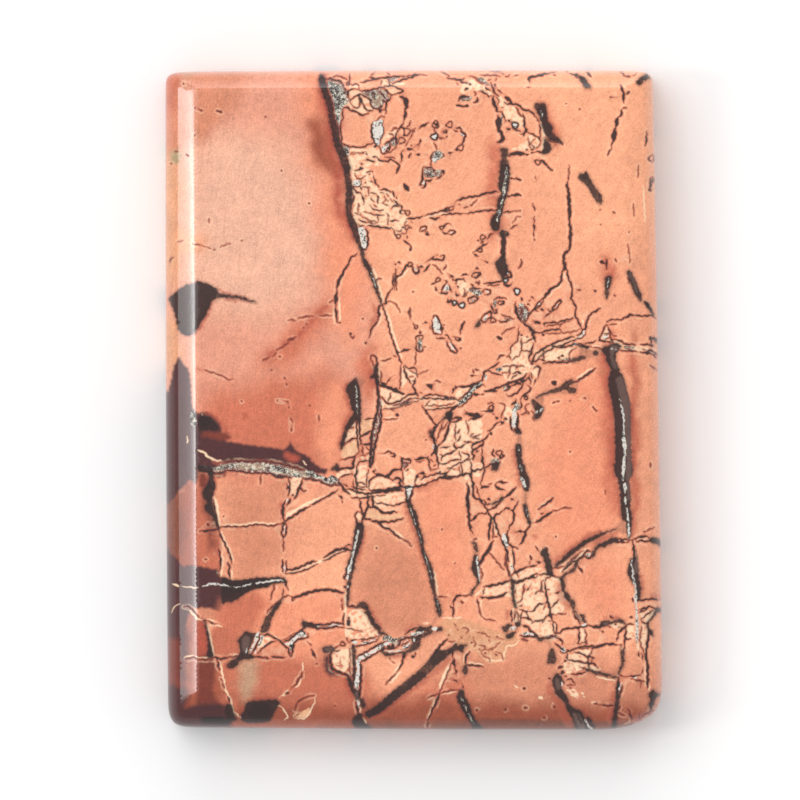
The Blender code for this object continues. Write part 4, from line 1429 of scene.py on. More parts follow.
# %% The lower middle
LOWER_MIDDLE = """
dark 2.3 460,475.5 464,473.7 470,473.5 472,472 476,470 481,469.4 484,467
dark 2.6 471,465 471,471 470.7,476 472,480 473,484 473,489 473,494 475,498 479,499 481,502 484,506
dark 2.1 484,467 484,472 482.5,477 481,482 480.3,485
cream 0 463,474 470,474.5 472,482 472.5,490 471,497 469.4,500 468,490 466,482
dark 3 467,482.5 468,487 469,490 468,493 467,498 468,504 468.5,511 469,517 469,522 470,527 471.5,532
umber 0 466.6,494 468.6,494 469,508 467,509 466,500
brown 1.5 476,485 477,489 478,494 480,498
dark 3.4 481.5,488.3 484,486.6 488.5,487
brown 1.4 488,485 492,483
dark 2.8 497,482 501,482 506.5,482.6
dark 3.2 494.5,485.5 498,488 501,489 504,490
dark 2.9 516,487.5 513,490.5 510,493.5 507,496 503,497.5
umber 0 503.5,497 502,501 497,503 492,505 492,502.6 498,500.6 500,497.6
dark 2.5 501,501 497,505 494,508 490.5,509
spot 1.7 488.5,498.7
dark 1.9 483,500 484.5,500 485.5,503 485,507
dark 1.6 488,505 490,503.6
dark 3.2 472.3,520 474.5,517.5 477,515
dark 1.9 478,513 482,513.5 486,513 488,511
dark 2.4 484,506 487,510 488.5,514 491,517 494,519.5 495.5,524 497,529 499,534 500.5,538
dark 3 490.5,519 490,525 489,531 488.7,536 489,540
brown 2 493,521 493,527 493,533 492.6,538
dark 3.2 492.8,540 490,547 487.5,551 484,556 481,561 479,565
cream 0 489,512 494,517 497,524 499,532 494,533 493,524
dark 2 494,519 496,515 500,513 504,510
dark 2.8 504,509.5 507,508 510.5,509.8
dark 2.4 518.5,501 516,505 514,508.5 513.5,513 514,518 512,523 510,526 508.5,530
brown 1.8 511,510 514,508.5
dark 2.7 507,531 507,536 508,541 509,545
white 0 502,533 505.5,534 508,543 507.5,549 505,546 502,540
dark 2.7 500.3,537 502,541 504,545 506,549 507.5,553 507.5,558 509,562
dark 2.1 509,543 512,546 515,547.5 518.3,548.7
dark 2.4 512,548 513,553 514,558 514,564 513.5,567
cream 0 508.5,550 512.5,550 513,560 512.5,571 510,571 509.5,560
brown 3.2 505.8,553 505.8,562 508,571
brown 1.7 488,551 491,555 495,559 499,564 503.5,569.5
dark 2.3 473,540 477,538
umber 0 472,542 475.5,542 477.5,547 477.5,552 475,551 473.5,547
umber 0 474,555 477,555 479,562 480,566 478.5,571 479.5,577 480,582 478,585 475,589 472,594 470,593 \
473,588 476,584 477,580 474,575 471,569 472,563
white 0 476,557 478,556 478,562 479,567 480,575 479.8,582 478.5,578 476,563
brown 1.8 480.5,568 482,573 482,579
umber 0 518,464 524,464 526,471 529,478 529.7,486 528,491 524,490.5 522,484 520,478 519,471
white 0 519.7,477 522,476.6 525,481 526,487 524,488.6 521.6,483
spot 1.4 522.6,480
seam 1.6 521,467 522,472
stain 4 517,468 518.5,478 520,486
umber 0 523,504 526,503.4 528,509 529,515 531,521 531,524 528.5,524 526,519 524,514 523,508
seam 1.6 526,507 527,512 528.3,518
dark 2.7 530,523 528.5,527 526,531 524.5,536 523,540 521.5,543 519.5,544.3
dark 2.7 517,531.3 520,531.4 523,531.3
spot 1.5 512,499
dark 2.6 538.5,509.5 542,506.5 547,503 551,499.5 553,498
pale 1.6 539,507 546,501.5
dark 3.4 535.5,522.5 540,519.5 544,516.5 548,514 551.3,511.8
brown 1.5 540,514 543.5,512.8
brown 1.5 552,510.5 558.5,510.3
brown 1.9 561,508.3 567,507.6 571,508
stain 4 534,535 536,538
spot 1 556,536.5 557,537
brown 1.9 493.8,537 497,536.5
dark 2.6 530.5,555 531,558 530.7,560.3
brown 1.4 530,562 529.5,565.5
dark 2.5 511.5,574.5 517,571.5 523,568.5 528,566.3
dark 2.4 529,566.4 533,566 537.3,564.8
spot 1.6 539,562
dark 1.9 535.5,546.5 538.5,551.5
umber 0 540,552 546,548 549,556 552,566 552.6,574 547,574 544,561
pale 1.2 541,547 543,552 546,558
pale 1.2 544.6,549 547,556 549.6,564
dark 1.8 546,547 547.5,552
stain 2.4 551,560 556,557.5 560.5,555.5
brown 1.6 552,568 558,567.5 564,566 568,565
"""
print(len(LOWER_MIDDLE.splitlines()) - 1, "marks")

# %% The lower end of the grey-black vein, and the dark branches that join it
RIGHT_VEIN_FOOT = """
umber 0 614,464 631.4,464 631,472 629,480 630,490 630.5,500 630,508 631.6,514 631.6,522 631,530 \
630.5,537.5 628,537.5 626,530 625.5,522 622,520 620.5,508 620,496 618.5,484 616,474
ash 0 626,464 631,464 630.6,472 628.6,480 629.5,492 629.5,500 627.6,500 627,490 626,476
white 0 621.8,464 624.3,464 623.6,473 624,480 622,481 621.8,472
white 0 623,483 626,483 626.6,489 625,493.5 623.3,489
white 0 624,496 625.8,496 626.3,504 624.2,504
white 0 625.3,507 627.3,507 628.3,514 629.2,522 629.8,529 629.8,536.5 627.6,536.5 627.2,528 626.6,518 \
625.8,512
spot 0.9 627.6,526.5
stain 5 612,470 615,482 618,494 618.5,506 620,518
pale 1.4 616.7,497 617,497.6
pale 1.4 617.5,504.3 617.7,505
umber 0 555,563.5 560,560 566,554 570,550 576,546 582,541 587,538.5 593,535.5 600,533 608,530.6 \
614,528.8 619.5,527.2 613,530.6 606,533.4 600,536.6 594,540 588,543 582,547 577,550.5 571,555.5 \
566,560 560,564.5 555,567.5
stain 6 556,561 566,552 577,543.5 588,536 600,531
stain 5 593,545 604,539 616,533.5
umber 0 590.6,557.5 592,551 595,546.5 600,543 606,540.6 612,537.6 617,538 618,541.6 612,543 607,545.5 \
603,547.6 599,547.6 595.5,552.5 593,558
pale 1.4 601.5,545.2 603.5,544.8
dark 2.1 617,538.6 624,539.3 630,539.7
dark 1.9 615,542 622,542 628,542.4
cream 0 618,540.2 628,540.4 628,541.6 618,541.4
white 0 585,554.5 587,552.8 591,553 590,555.6 587,556.6
dark 2.1 583.6,553.6 587,550.6 591,552.5
dark 2.6 585,556.8 588,558.2 591.6,556
cream 0 556,569 566,562 575,556 583,549 587,548 584,553 577,560 570,567 563,572
dark 2.1 562,571.5 568,566 572,562 577,560 580,558 583,555 585,552
umber 0 585,554 580,559.5 578,562 577,567 574,571.5 568,574 563,578 559,578 563,574 570,570 574,565 \
576.5,560.5
brown 1.5 555,568.6 562,567 568,563.6 573,559.5 578,556
brown 1.5 567,563 573,558 579,553.5 584,550
dark 2.8 578,566 580,568.5 582.5,572
dark 2.4 632,540 636,538 640,536.6 645,536.3 649,537.6
dark 2.3 636,541.5 641,540.4 646,541.4 650,540.4
umber 0 649,538.5 654,537.4 661,540 661,546.5 655,543.6 650,542
pale 1.8 638,539.2 645,538.7 649,538.6
dark 2.6 632.5,541 633.5,548 634,556 634,563
ash 0 634.5,548 637,552 638,562 638,572 634,572 634,560
umber 0 629,564 631,558 636,558 637.5,566 638.5,574 639.5,582 641,588 640,597 638.8,601 636.5,600 \
636,592 634.5,586 632,582 629,577 627,571
white 0 631,559 632.3,559 632,566 634,571 634,577 635.5,583 636.5,590 637,598 637,606 638,614 \
638.5,622 638.5,632 638,642 635.5,642 635.5,632 635,622 635,612 634.5,604 633.5,597 634.5,590 633,583 \
631.5,576 631.6,569 630.4,565
stain 5 641,575 642,585 641.5,596
dark 2 632.5,597 632.5,602
spot 1.5 631,616.8
brown 1.5 645,531.3 648,529.8 650,528.8 654.5,527.4
spot 1.2 644,531.3
brown 1.6 605,490 605,494
"""
print(len(RIGHT_VEIN_FOOT.splitlines()) - 1, "marks")

# %% The lower left: the dark band with a white thread, and the cracks under it
LOWER_LEFT = """
adobe 3 200,608 214,609 219,613 224,604 232,602 234,612 226,622 218,621 212,619 205,618.5 200,617
rust 3 199,620 205,619 206.5,624 209,640 212,656 199,657
terracotta 6 212,630 222,626 238,630 240,650 236,656 214,655
clay 16 222,604 248,592 262,590 264,606 256,626 250,634 230,632 216,622
brick 5 199,660 214,660 216,672 213,690 220,706 218,722 199,722
terracotta 5 219,662 228,664 236,670 238,700 236,710 229,700 224,685 220,670
brick 7 150,642 178,640 180,668 179,690 150,680
maroon 5 150,684 183,690 184,708 190,706 200,704 222,704 226,708 226,729 150,729
ink 3 204,717 230,718 228,724 204,723
tan 14 240,659 254,660 256,682 252,702 243,700 237,680
umber 0 222,577.5 231,580 240,580 250,578.5 260,577.5 268,577.5 276,576.5 282,577 285.5,578 \
285.5,582.5 278,583 272,584 268,586.5 260,588 252,590 246,593 240,597 233,601.5 226,602 222,603
pale 2 173,584 177,585.5 180,586
pale 1.3 184,586.5 190,587 198,587.8
white 0 202,586 206,584.5 210,582.5 214,582.3 219,583 225,584 230,585.3 230,586.8 224,586 219,585.5 \
213,584.8 208,586 203,587
seam 1.2 231,586.5 236,587 241,586.5
white 0 242,585.4 248,583.7 252,582.3 253,583.8 248,585.8 242,587
white 0 255,582.3 262,581.2 268,580.3 272,579.5 278,579 284,579.8 284,581.5 278,581 272,581.8 \
266,582.8 256,583.8
pale 1.5 221.5,571 221.5,576
pale 1.4 231.8,571 232,579
pale 1 171.5,613 174,607 180,603.5
dark 1.8 184,606.5 190,607.5 194,611 199,617
pale 2 190,610.5 194,614 198,618.5 202,620
umber 0 204.5,619 206.5,623 208.5,631 210.5,641 212.5,650 213.5,657 207,657 208,648 207.5,640 206,630 \
204.5,624
pale 2 207,624 209.3,632 211.3,641 213,650 214.3,656
dark 2 205,619.5 209,621.3 213,623.2 216.5,623.5
pale 1.4 208,619.6 212,619.8 215,621
pale 1.3 210,624.8 217,625 222,626.5
umber 0 246,631 252,633 255.5,632.5 255,637 252,643 250,648 248,653 253,655 253,658.5 247,659 241,660 \
238,664 234,667.5 229,668 226.5,666 228,663 232,660 238,656 240,652 239.5,645 238,640 241,636
ash 0 243,638 248,636 250,641 247,648 243,650
white 0 246.5,648 248.5,647 247,652 245,653.5
white 0 255.8,633 259.5,632.5 258,639 254,647 250,653.5 248.5,652.5 252,646 254.5,640
dark 2.4 260,634 258.5,641 255,648 251.5,654
white 0 260.8,635.5 264.5,635.5 262.5,641 259,647 256,654 254.3,654 257,647 259.5,641
umber 0 281.5,598 283.5,597.5 281.5,603 278,608 275,613 272,619 270,626 268.5,631 263,632.5 \
260.5,631.5 262,626 265,619 268.5,614 273,607.5
dark 1.6 282,598 276,603.5 270,609 267,612.5
pale 1.6 278,604 273,609 269,613.5
dark 1.6 290,595.5 286,595.8 283,597.5
brown 1.8 275,583 274,588 272,594 270.5,600
dark 2 283.5,589 282.8,596
dark 2.4 286,580.5 286.3,585 288,588.5
pale 1.2 284.8,584 285.8,587
dark 3.2 292.5,597 298,596.3 304,594 310,592.3 316,590.5 322,589.9 328,589.6 334,590.4 340,592 344,592.5
spot 1.8 293,600
apricot 6 286,573 300,572 330,560 345,552 343,575 344,588 330,588 316,589 300,594 290,594 288,586
dark 2.2 262,634.8 267,634.5 271,635 275,637.8 280,641 284,644.5 288,648 289.5,653 290,656
pale 1.5 272,634.5 277,637.5 281,640.2
brown 1.4 282,640 287,638.5 291,636 295,633
dark 2.2 257,653.5 262,648.8 267,645 272,641.8 276,641
cream 0 258,650 262,641 266,637 272,639 273,641 267,644.5 262,648
umber 0 302.5,620.5 306,621.5 312,623.5 317,625 317,627.5 311,626.5 307,627.5 302.5,628
dark 2.1 306,622 312,623.6 318,624.3 328,624 332,622.5 338,622.5 341,623.8 344,624.5
dark 2.1 310,626.3 316,627.8 324,628.3 330,628 334,626.6 338,626.4 344,627.8
ash 0 317,625.3 331,625 333,624 337,624 337,625.5 331,627 317,627
white 0 316.5,625.3 320,625.3 320,626.6 316.5,626.6
white 0 328,625.5 333,623.8 338,623.8 343,625.3 343,626.5 338,625.4 333,625.6 329,627
dark 2.1 304,627.5 299,631.5 294,636 290,639 286,641 282,642.5
white 0 301.5,630.5 305,631.5 307,636.5 304,637 300,637 296,640 293,644 292,651 290,651 289,645.5 \
285.5,645 284.5,643 288,642 292,638.5 297,634
dark 2.2 308,633 307.8,637 304,638.2 300,638.7 296,641 293.5,645 292.8,650 292,656
dark 1.8 301,632 303,631.5 305,634 303,635
spot 1.2 291,645
spot 0.9 224,516 311,644.5
dark 2 311,649 314,652
spot 2 313.5,653.8
dark 1.4 200,659.3 212,659
pale 1.2 200,657.5 212,657
dark 2.2 213,657.3 218,657.5 222,658.8 226,657.5 231,656.8
dark 1.8 231,657 236,656 241,654.5
dark 1.9 250,656.5 256,656.5 262,657 268,657
pale 1.5 233,655.5 239,654
spot 1.3 273.5,656.5 282.5,657.2 267.5,658
dark 1.8 186,659.5 190,658 194,657.5 199,659
pale 1.3 184,657 192,655.5 198,657
dark 2.4 217.5,660 218.5,664 219.7,669.5
pale 1.8 219.5,661 221.5,668 222.8,675 224.3,683 226,690 229,696 231.3,701 232.5,707 234,713 235,717
brown 1.7 221.7,678.5 222.5,681
brown 1.8 223.6,683.5 224.5,688
dark 2.2 228.3,696.5 229.8,701.5
umber 0 226,705 231,703.5 233,708 234.5,714 237,719.5 232,721 228,720 226,716 224.5,710
pale 1.2 236,712 239,716 243,718.5
umber 0 248,702 262,700 276,699.5 280,703 277,708 274,712 272,718 266,722 245,722 241,716 244,710
ink 4 252,706 268,703 270,712 262,720 250,719
stain 5 247,700 262,698 276,698
pale 1.3 272,704.8 281,706
pale 1.3 281,706 284,709.5 287,714 287.5,717.5 284,719.5
dark 1.7 302.5,672 301,676 298,680 296.5,684 292.5,686.5
pale 2 301.5,679 299,683.5 296,687
dark 2.4 289.5,692 286,693.8
pale 1.8 288,689.5 284,694 280,697.5
brown 1.7 295.3,710 296,705 299,701 304,698 309,696 314,695
pale 1.2 315,697 314.5,703 311,709 309,714 305,718 297,718.5
sand 2 295,713 301,713 305,710 309.5,708 310,712 307,717 302,718 296,717
dark 1.8 296,716 299,714
spot 1 335,705.5 317,663.5
pale 1.6 303,662 303,671
"""
print(len(LOWER_LEFT.splitlines()) - 1, "marks")

# %% The second fault's last length, the cream lens and the knot of dark and white
FAULT_KNOT = """
umber 0 350.5,566 355,566 353,573 351.5,580 350,590 349,600 348.5,605 346.3,605 346.5,598 346.8,590 \
347.5,582 349,574
dark 2 347.5,566 346.5,572 345.5,578
white 0 348,565 350.5,565 349.5,572 348.5,579 346.3,579 347,572
dark 2.4 345,573.5 344.5,577 344.8,580
spot 1.5 345,586.5
white 0 346.5,585.5 348.7,585.5 348.5,588 346.5,588
pale 2.2 346,591 345.6,600 345.5,610 345,615 346.5,624 346,632 347,638
dark 2 342.5,598.5 341.8,602
brown 2 342.5,604 342.3,610
dark 2 344.5,612.5 343.7,617 343.2,622 344,625
spot 2 348.5,621 348.5,624
spot 1.3 349,617.5
cream 0 350,611 356,609 361,609 365,613 368,618 371,624 375,629 378,633 380,637 372,637 364,638 \
355,639 349,638 347,632 347,620
umber 0 352,607 358,605 360,602 364,601.7 367,604 369,609 371,614 374,619 376,623 379,625 381,628 \
381.5,632 384,632 387,633.5 388,636 384,634.5 381,635 379,633 376.5,629 374,627 371,624 368.5,618 \
366,614 364,612 366,610 363,608.5 360,607.5 356,608
dark 2 347.5,606.3 352,605.8 356,606.5
stain 4 368,605 372,612 376,619 382,626
brown 1.4 345,627.5 350,628.5 356,630 362,631.5
dark 1.9 347,637 347.6,641
ring 2.2 342.7,643.7
umber 0 322,648 326,646 331,645.5 334.5,648 334.5,651 331,653 330,652 325,652.5 323,650.5
ash 0 325,648 330,647 333,649 330,651 326,650.5
dark 1.7 334,648 338,645.7
pale 1.6 335,650 340,648.6
dark 1.5 335,651.3 340,649.7
maroon 5 326,655 330,654 331,664 334,671 340,675 330,675 325,670 324,660
dark 2.8 331.5,651.5 330,657 331,663 332.5,667.5 336,670.5 341,672.8 346,674 349,677
cream 0 333,653 340,650 348,648 352,650 352,672 350,677 345,672 339,670 335,667 333,662 331.5,657
brown 1.4 349.7,648 350.2,658
brown 1.6 350.2,660 349.5,669 351,676
umber 0 351.5,645 354.5,646 356,652 355.5,660 356,668 355.5,676 355.5,684 353,684 352.5,676 353,668 \
352.5,660 352,652
white 0 355.5,660 360,662 360,672 359.3,682 358,689 355.5,689 354.3,684 355.5,676 356.8,668
dark 1.2 356,674 357.5,674.8
dark 2.8 360.7,662 361,670 360.7,680 360,690 358.7,698
umber 0 346.5,674 350,677 353,683 354,688 357,690 359,692 359,699 356.5,700 354,695 351,690 348,682
ash 0 355.5,692 358.5,692 358.5,698 356.5,698
stain 6 345,677 348,688 352,698
white 0 357,699 359,699 360,704 358.5,708 357,704
umber 0 360,698 363,699 365.5,704 363.5,708 360.5,705
dark 2.6 355.5,702 357.5,708 358.5,714
umber 0 355,716 359,713 362,714 364,721 372,729 358,729 352,722
pale 1.6 359.6,707 360.7,713
pale 1.8 363.5,718 367,724.5
white 0 352,641 357,640.3 357,644 353,643.7
dark 1.8 350.5,642 352,640 357,639.3
dark 1.8 352,645.3 358,645.7 364,644.5 369,643 375,641.5 379,638.5
dark 1.6 362,641 366,639.3 372,637.7 380,635.5
dark 1.8 360,638.8 363.5,638.3
white 0 359,643 364,641.5 370,640 376,638 375,640.5 369,642 364,643.7
dark 2.2 357,657 362,653.8 368,650.5 374,647 380,643.5 386,641.3
white 0 355.5,660 360,656 368,652.3 376,647.5 382,643.5 388,641.5 393,640.5 388,645 383,646 378,650.3 \
370,654.8 363,658.8 358,661
dark 1.5 368,652.8 369.5,653.5
dark 2.2 358,662 364,660.3 370,656.5 376,653 381,650
quartz 0 383,637 389,635 393,638 400,637 406,635.5 409,636 402,639.5 398,645 392,644 388,641.5 383,640.5
brown 1.5 383,643 388,640.8
umber 0 380,649.5 382,645.5 384.5,646 384.5,650 382,652.5
umber 0 382,652 386,651.8 392,652.8 399,651.5 405,650.5 411,648 415,645 417,641 417,637 420.5,637 \
420.7,642 419,646.5 414,650.5 408,652.5 404,654 398,653.8 392,655 386,656
white 0 384.5,650 389,649.8 395,650 400,649.5 403,648.5 401,650.8 395,651.8 389,652 385,651
dark 2.2 384.5,648 389,648.7 394,648 398,646
spot 2 392.7,645.2 388.7,646
dark 2.6 397,648 399.5,643.5 401,640 405,638.5 410,637
white 0 401,643 405,640.5 409,638.8 409,640 405,642 402,644.5
dark 1.6 402,645.5 406,643 410,640.5
white 0 402,647 406,644.5 410,642.5 411,644 407,647 403,649
dark 1.8 404,649 408,646.5 411,644
umber 0 410,636.5 414,635.5 417,637 417,641 415,645 411,648 409,649 412,644 412,640
white 0 413,638 415,637.5 415,642 413.5,641.5
dark 2.6 404.5,634.5 408,631.5 412,629 417,627.5
umber 0 416,631 419,626 424,627 429,626 432,625.3 431,629.5 426,631 420,633 416,633
white 0 410.5,633.5 414,632 418,631.5 423,630.5 424,632.5 420,633.8 416,635.5 411,635.5
umber 0 411,636 416,635.5 421,633.5 426,631.5 431,630 433,630.5 431,633.5 425,636 420,638.5 416,638 \
412,637.5
white 0 431.5,627.5 435,626.3 437.8,628 435.5,630.3 432,630.3
umber 0 437.5,627 441,626.5 442.7,629.5 440,631.2 436,631
cream 0 422.5,622 427,622 431,624 427,625 423.5,624
stain 4 405,631 412,626 418,624
stain 3 386,657 398,656 409,655
dark 3.6 404,654 403.5,658
dark 2.6 403.5,658 402,662.5 400.5,666.5 397.5,671
dark 1.8 397.5,671 393,675.8 389.5,680 385.5,684
pale 2 399.5,664 397,669 394,673
pale 2.4 400.5,671 395,678 389,683.5
spot 1.8 412.8,656.3
dark 1.8 415.8,652.5 415,655
spot 0.9 390,658.5 394.5,662.5
umber 0 365,712 372,708 380,702 388,695 396,688 403,682.5 410,677 416,672.5 422,667 428,660 434,653 \
438,649.5 442,650 447,649 452,646 456,642.5 457,645 462,644 467,644.5 464,648 463,652 457,650.5 \
451,653 444,659 436,666 428,673.5 420,681 413,687 406,692 398,698 390,704.5 382,711.5 374,715.5 \
368,717.5
dark 2.8 434,653.5 438,648 443,643 448,638.5
pale 1.5 433.5,659 436.5,656 439,654
stain 5 372,717 384,711 396,702 408,693 420,684 432,674 444,664 452,657
dark 2 452,651 453,658
dark 3.2 453.5,658.5 454.7,666.5
dark 2.2 455.7,669 456,673
spot 1.2 456.7,680.5
dark 1.5 463,685 463,688
dark 1.5 451,664 448,672 444.5,680 441,688.5 439.5,693
dark 2.6 439.5,693 436.5,701 433,708.5 430,715.5 428,720.5
dark 1.8 428,720.5 427.6,729
pale 3.2 449.5,664 446,672 442.5,680 439.5,688
pale 1.6 437,696 434,703 430.5,711 427,718
dark 1.8 428.5,697.3 433,695.6 438,693.8
brown 1.6 440,692.7 446,691.5 452,689.8 459,689.7
pale 1.2 428,698.6 434,697
pale 1.3 441,694 448,692.8 456,691
umber 0 460,689 463.5,690 465,696 469,703 471,710 474,717 478,723 484,730 474,730 471,724 467,718 \
463,711 459,704 456.5,698 457.5,693
seam 1.7 461,697 463,701.5
seam 2.1 464.5,705 466,708.5
seam 1.5 467,711 469,714.5 471,718.5 474,724
"""
print(len(FAULT_KNOT.splitlines()) - 1, "marks")

# %% The tan patch and the net beside it
TAN_PATCH = """
buff 3 441,622 452,618 475,622 490,628 500,632 520,638 519,641 511,646 507,652 505,660 498,662 \
486,662 480,655 466,648 456,644 447,637
dark 2.4 457,594.5 455,598 453.5,602 453,604
dark 2.2 454,607 453.2,612 453,617
spot 1.5 457.5,595.5 460,595
spot 1.2 451,607
dark 1.6 460,594.5 464,596 468,595 472,595.5
spot 1.3 463,602.5
pale 1.4 442,617.6 452,617.6 462,617.3
pale 2 475,596 481,590
dark 2.8 483,586.5 488,586 494,585 500,583.5 506,581.8 510,579.8
brown 2 484.5,588 483.5,591 483,594
cream 0 484,588 510,582 511,596 498,595 484,596
dark 2.4 479.5,596.5 484,597.4
dark 3 484,597.4 490,597.6 496,597 501,595.8 505,593 507,592
dark 2.2 477,599 478.3,604
brown 1.8 478.3,604 479.5,610 480.7,616
pale 1.4 480.5,600 481.3,607
brown 1.6 485,619 490,619.6 495,620.3
spot 1.1 497.3,636.6 471.5,642 485.5,653 496.5,654.7 484.5,646
spot 0.8 479.5,649 461.7,637.5 492.5,649.5 449,634.5 458,630 455,624.5 474,637 489,640
brown 1 473,640 476,643 474,646
brown 1 480,644.5 485,647 481,650.5
brown 1 486,650 493,648 497,645
brown 1 500,642 496,645.5
brown 1 481,652 484,656 488,657 490,661
brown 1 497,652 501,653.5 503,659
brown 1 447,640 452,642 455,640
brown 1 462,627 468,629 466,633
brown 1 478,632 484,633.5 490,637
brown 1 499,638.5 504,639
pale 1.4 486,659.5 494,660.5 502,659 505,650 507.5,645 513,645.5 519,640
dark 2.4 470,651.5 467.5,654.5 465.5,657.5 465.5,662 466,664.5
dark 2.3 466,664.5 472,664.8 478,665.5 483.5,666.5
pale 1.6 468,662.7 475,663.2 483,664.3
pale 1.3 467,652 464,656.5 463.7,662
umber 0 464,665 467,665.5 467.5,670 466,674 463.5,674 462.5,669
dark 2.2 507,565 508.5,572 509.5,577
white 0 510.5,565 513,565 513,571 511.3,574
cream 0 512,577 522,570 540,568 552,575 560,578 562,590 566,600 562,612 552,616 556,630 540,636 \
526,622 518,620 514,606 513,590
umber 0 510,574 512,578 514.8,580 514.2,590 514.7,598 516,603 517,607.5 514.5,607.5 512.5,601 511,592 \
510.5,580
dark 1.6 513.5,567 515.5,572 518.5,577
dark 1.8 513,580.6 519,580.6 524,579 529,577 534,574.5 537,573
dark 2.2 514,583.5 518,582.5 522,581 527,578.5 533,577.5 537,576.5
dark 1.8 537,575 542,574 548,574
dark 2.6 545,573.5 549,574 553,575.5 558,577
dark 2 550,576.5 546.5,578.5 545,581
brown 2.2 543,579.5 541.5,584 541.3,589 543.5,592
dark 2.4 544.5,583 545.5,590 546.5,596 548,602 549.5,609 551,616 553,622
dark 2 553,622 553,627 554,632 556,634
dark 2 555.5,622.5 556.5,627 556,632.5
pale 1.3 554.5,623 555,630
brown 2.4 524,583.5 523.5,590 522.5,595
dark 2.8 526.3,590 529,587.8
brown 1.8 536,591 535.8,595
brown 1.5 537,592 541,591 544,592.5
dark 1.6 516,590 514.5,593
dark 1.8 517,603 520,601 522,598.5 522,595
dark 1.6 519,606.5 522,604.5
brown 1.8 545,589 549,589.5
dark 2.3 555.5,593 559,591.5
dark 2.5 559,599.5 555,603.5 551,607
dark 2 545,603 540,604 536.5,606 534,610 529,611.5
brown 1.4 545,604 543.5,610
dark 1.9 520,609.5 524,610.5 529,611.5
dark 1.9 526,612 528,616 531,620 532,622
dark 2 520.5,617 525,617.8 529,619.5
dark 1.8 521.5,612 521.5,615 520.5,618 520.5,621
dark 1.9 532.5,622.5 537,620.5 542,620 546,616.5 551,614.5 556,614.5
brown 1.6 556,614.3 560,613.5 566,613.8
dark 1.4 544,621 542,623
brown 1.4 548,621 552,620.5
dark 3 523.5,626 528,625.7
dark 2.6 528.5,626 529.5,629.5 532,632 535,634 538,637
dark 2.4 520,635.5 526,636.2 532,636.2 536,636.5
white 0 521,633 527,631.5 533,633 535,635 528,635 521,634.7
umber 0 534,635 539,637 545,637 549,637.5 548,639 543,639.5 540,641.5 537,639.5
quartz 0 546,636 552,634 558,635 557,638 550,639
dark 1.8 546,638 550,636.5 555,636
brown 3 521,638.8 525,639.8 528,640.3
dark 2.4 556.5,638 560,639 562,641.5 562,644.5
dark 2.6 555,643.5 559,646 562,649 565,650.5
white 0 560,646 563,647 565,649 566,652.5 562,651.5 560,648.5
dark 1.8 560,651.5 563,652.3 567,652.5
umber 2 550.5,648 553.5,649 555,654 556,660 554,663 548,663 547.5,657
umber 0 502,627 506,625 510,623.5 512,625 509,627.5 508.5,630.5 505.5,632.5 503,631
umber 0 506,634 510,632.5 514,631 517,629 515,634 512,637 509,639 506.5,637.5
white 0 508.5,629 512,630.5 515,628.5 516,626 512,625.7 510,627.5
dark 3 511.3,610 511,613 511.5,617
dark 1.8 512,618 512,621.5
cream 0 512,608 518,608 520,621 513,621
dark 1.9 515,611 514.5,616 514,620
dark 1.9 517,611 518,616 518,620
umber 0 515,622 520,621 520.5,625 517,627 515,625.5
stain 4 507,611 507,618
"""
print(len(TAN_PATCH.splitlines()) - 1, "marks")

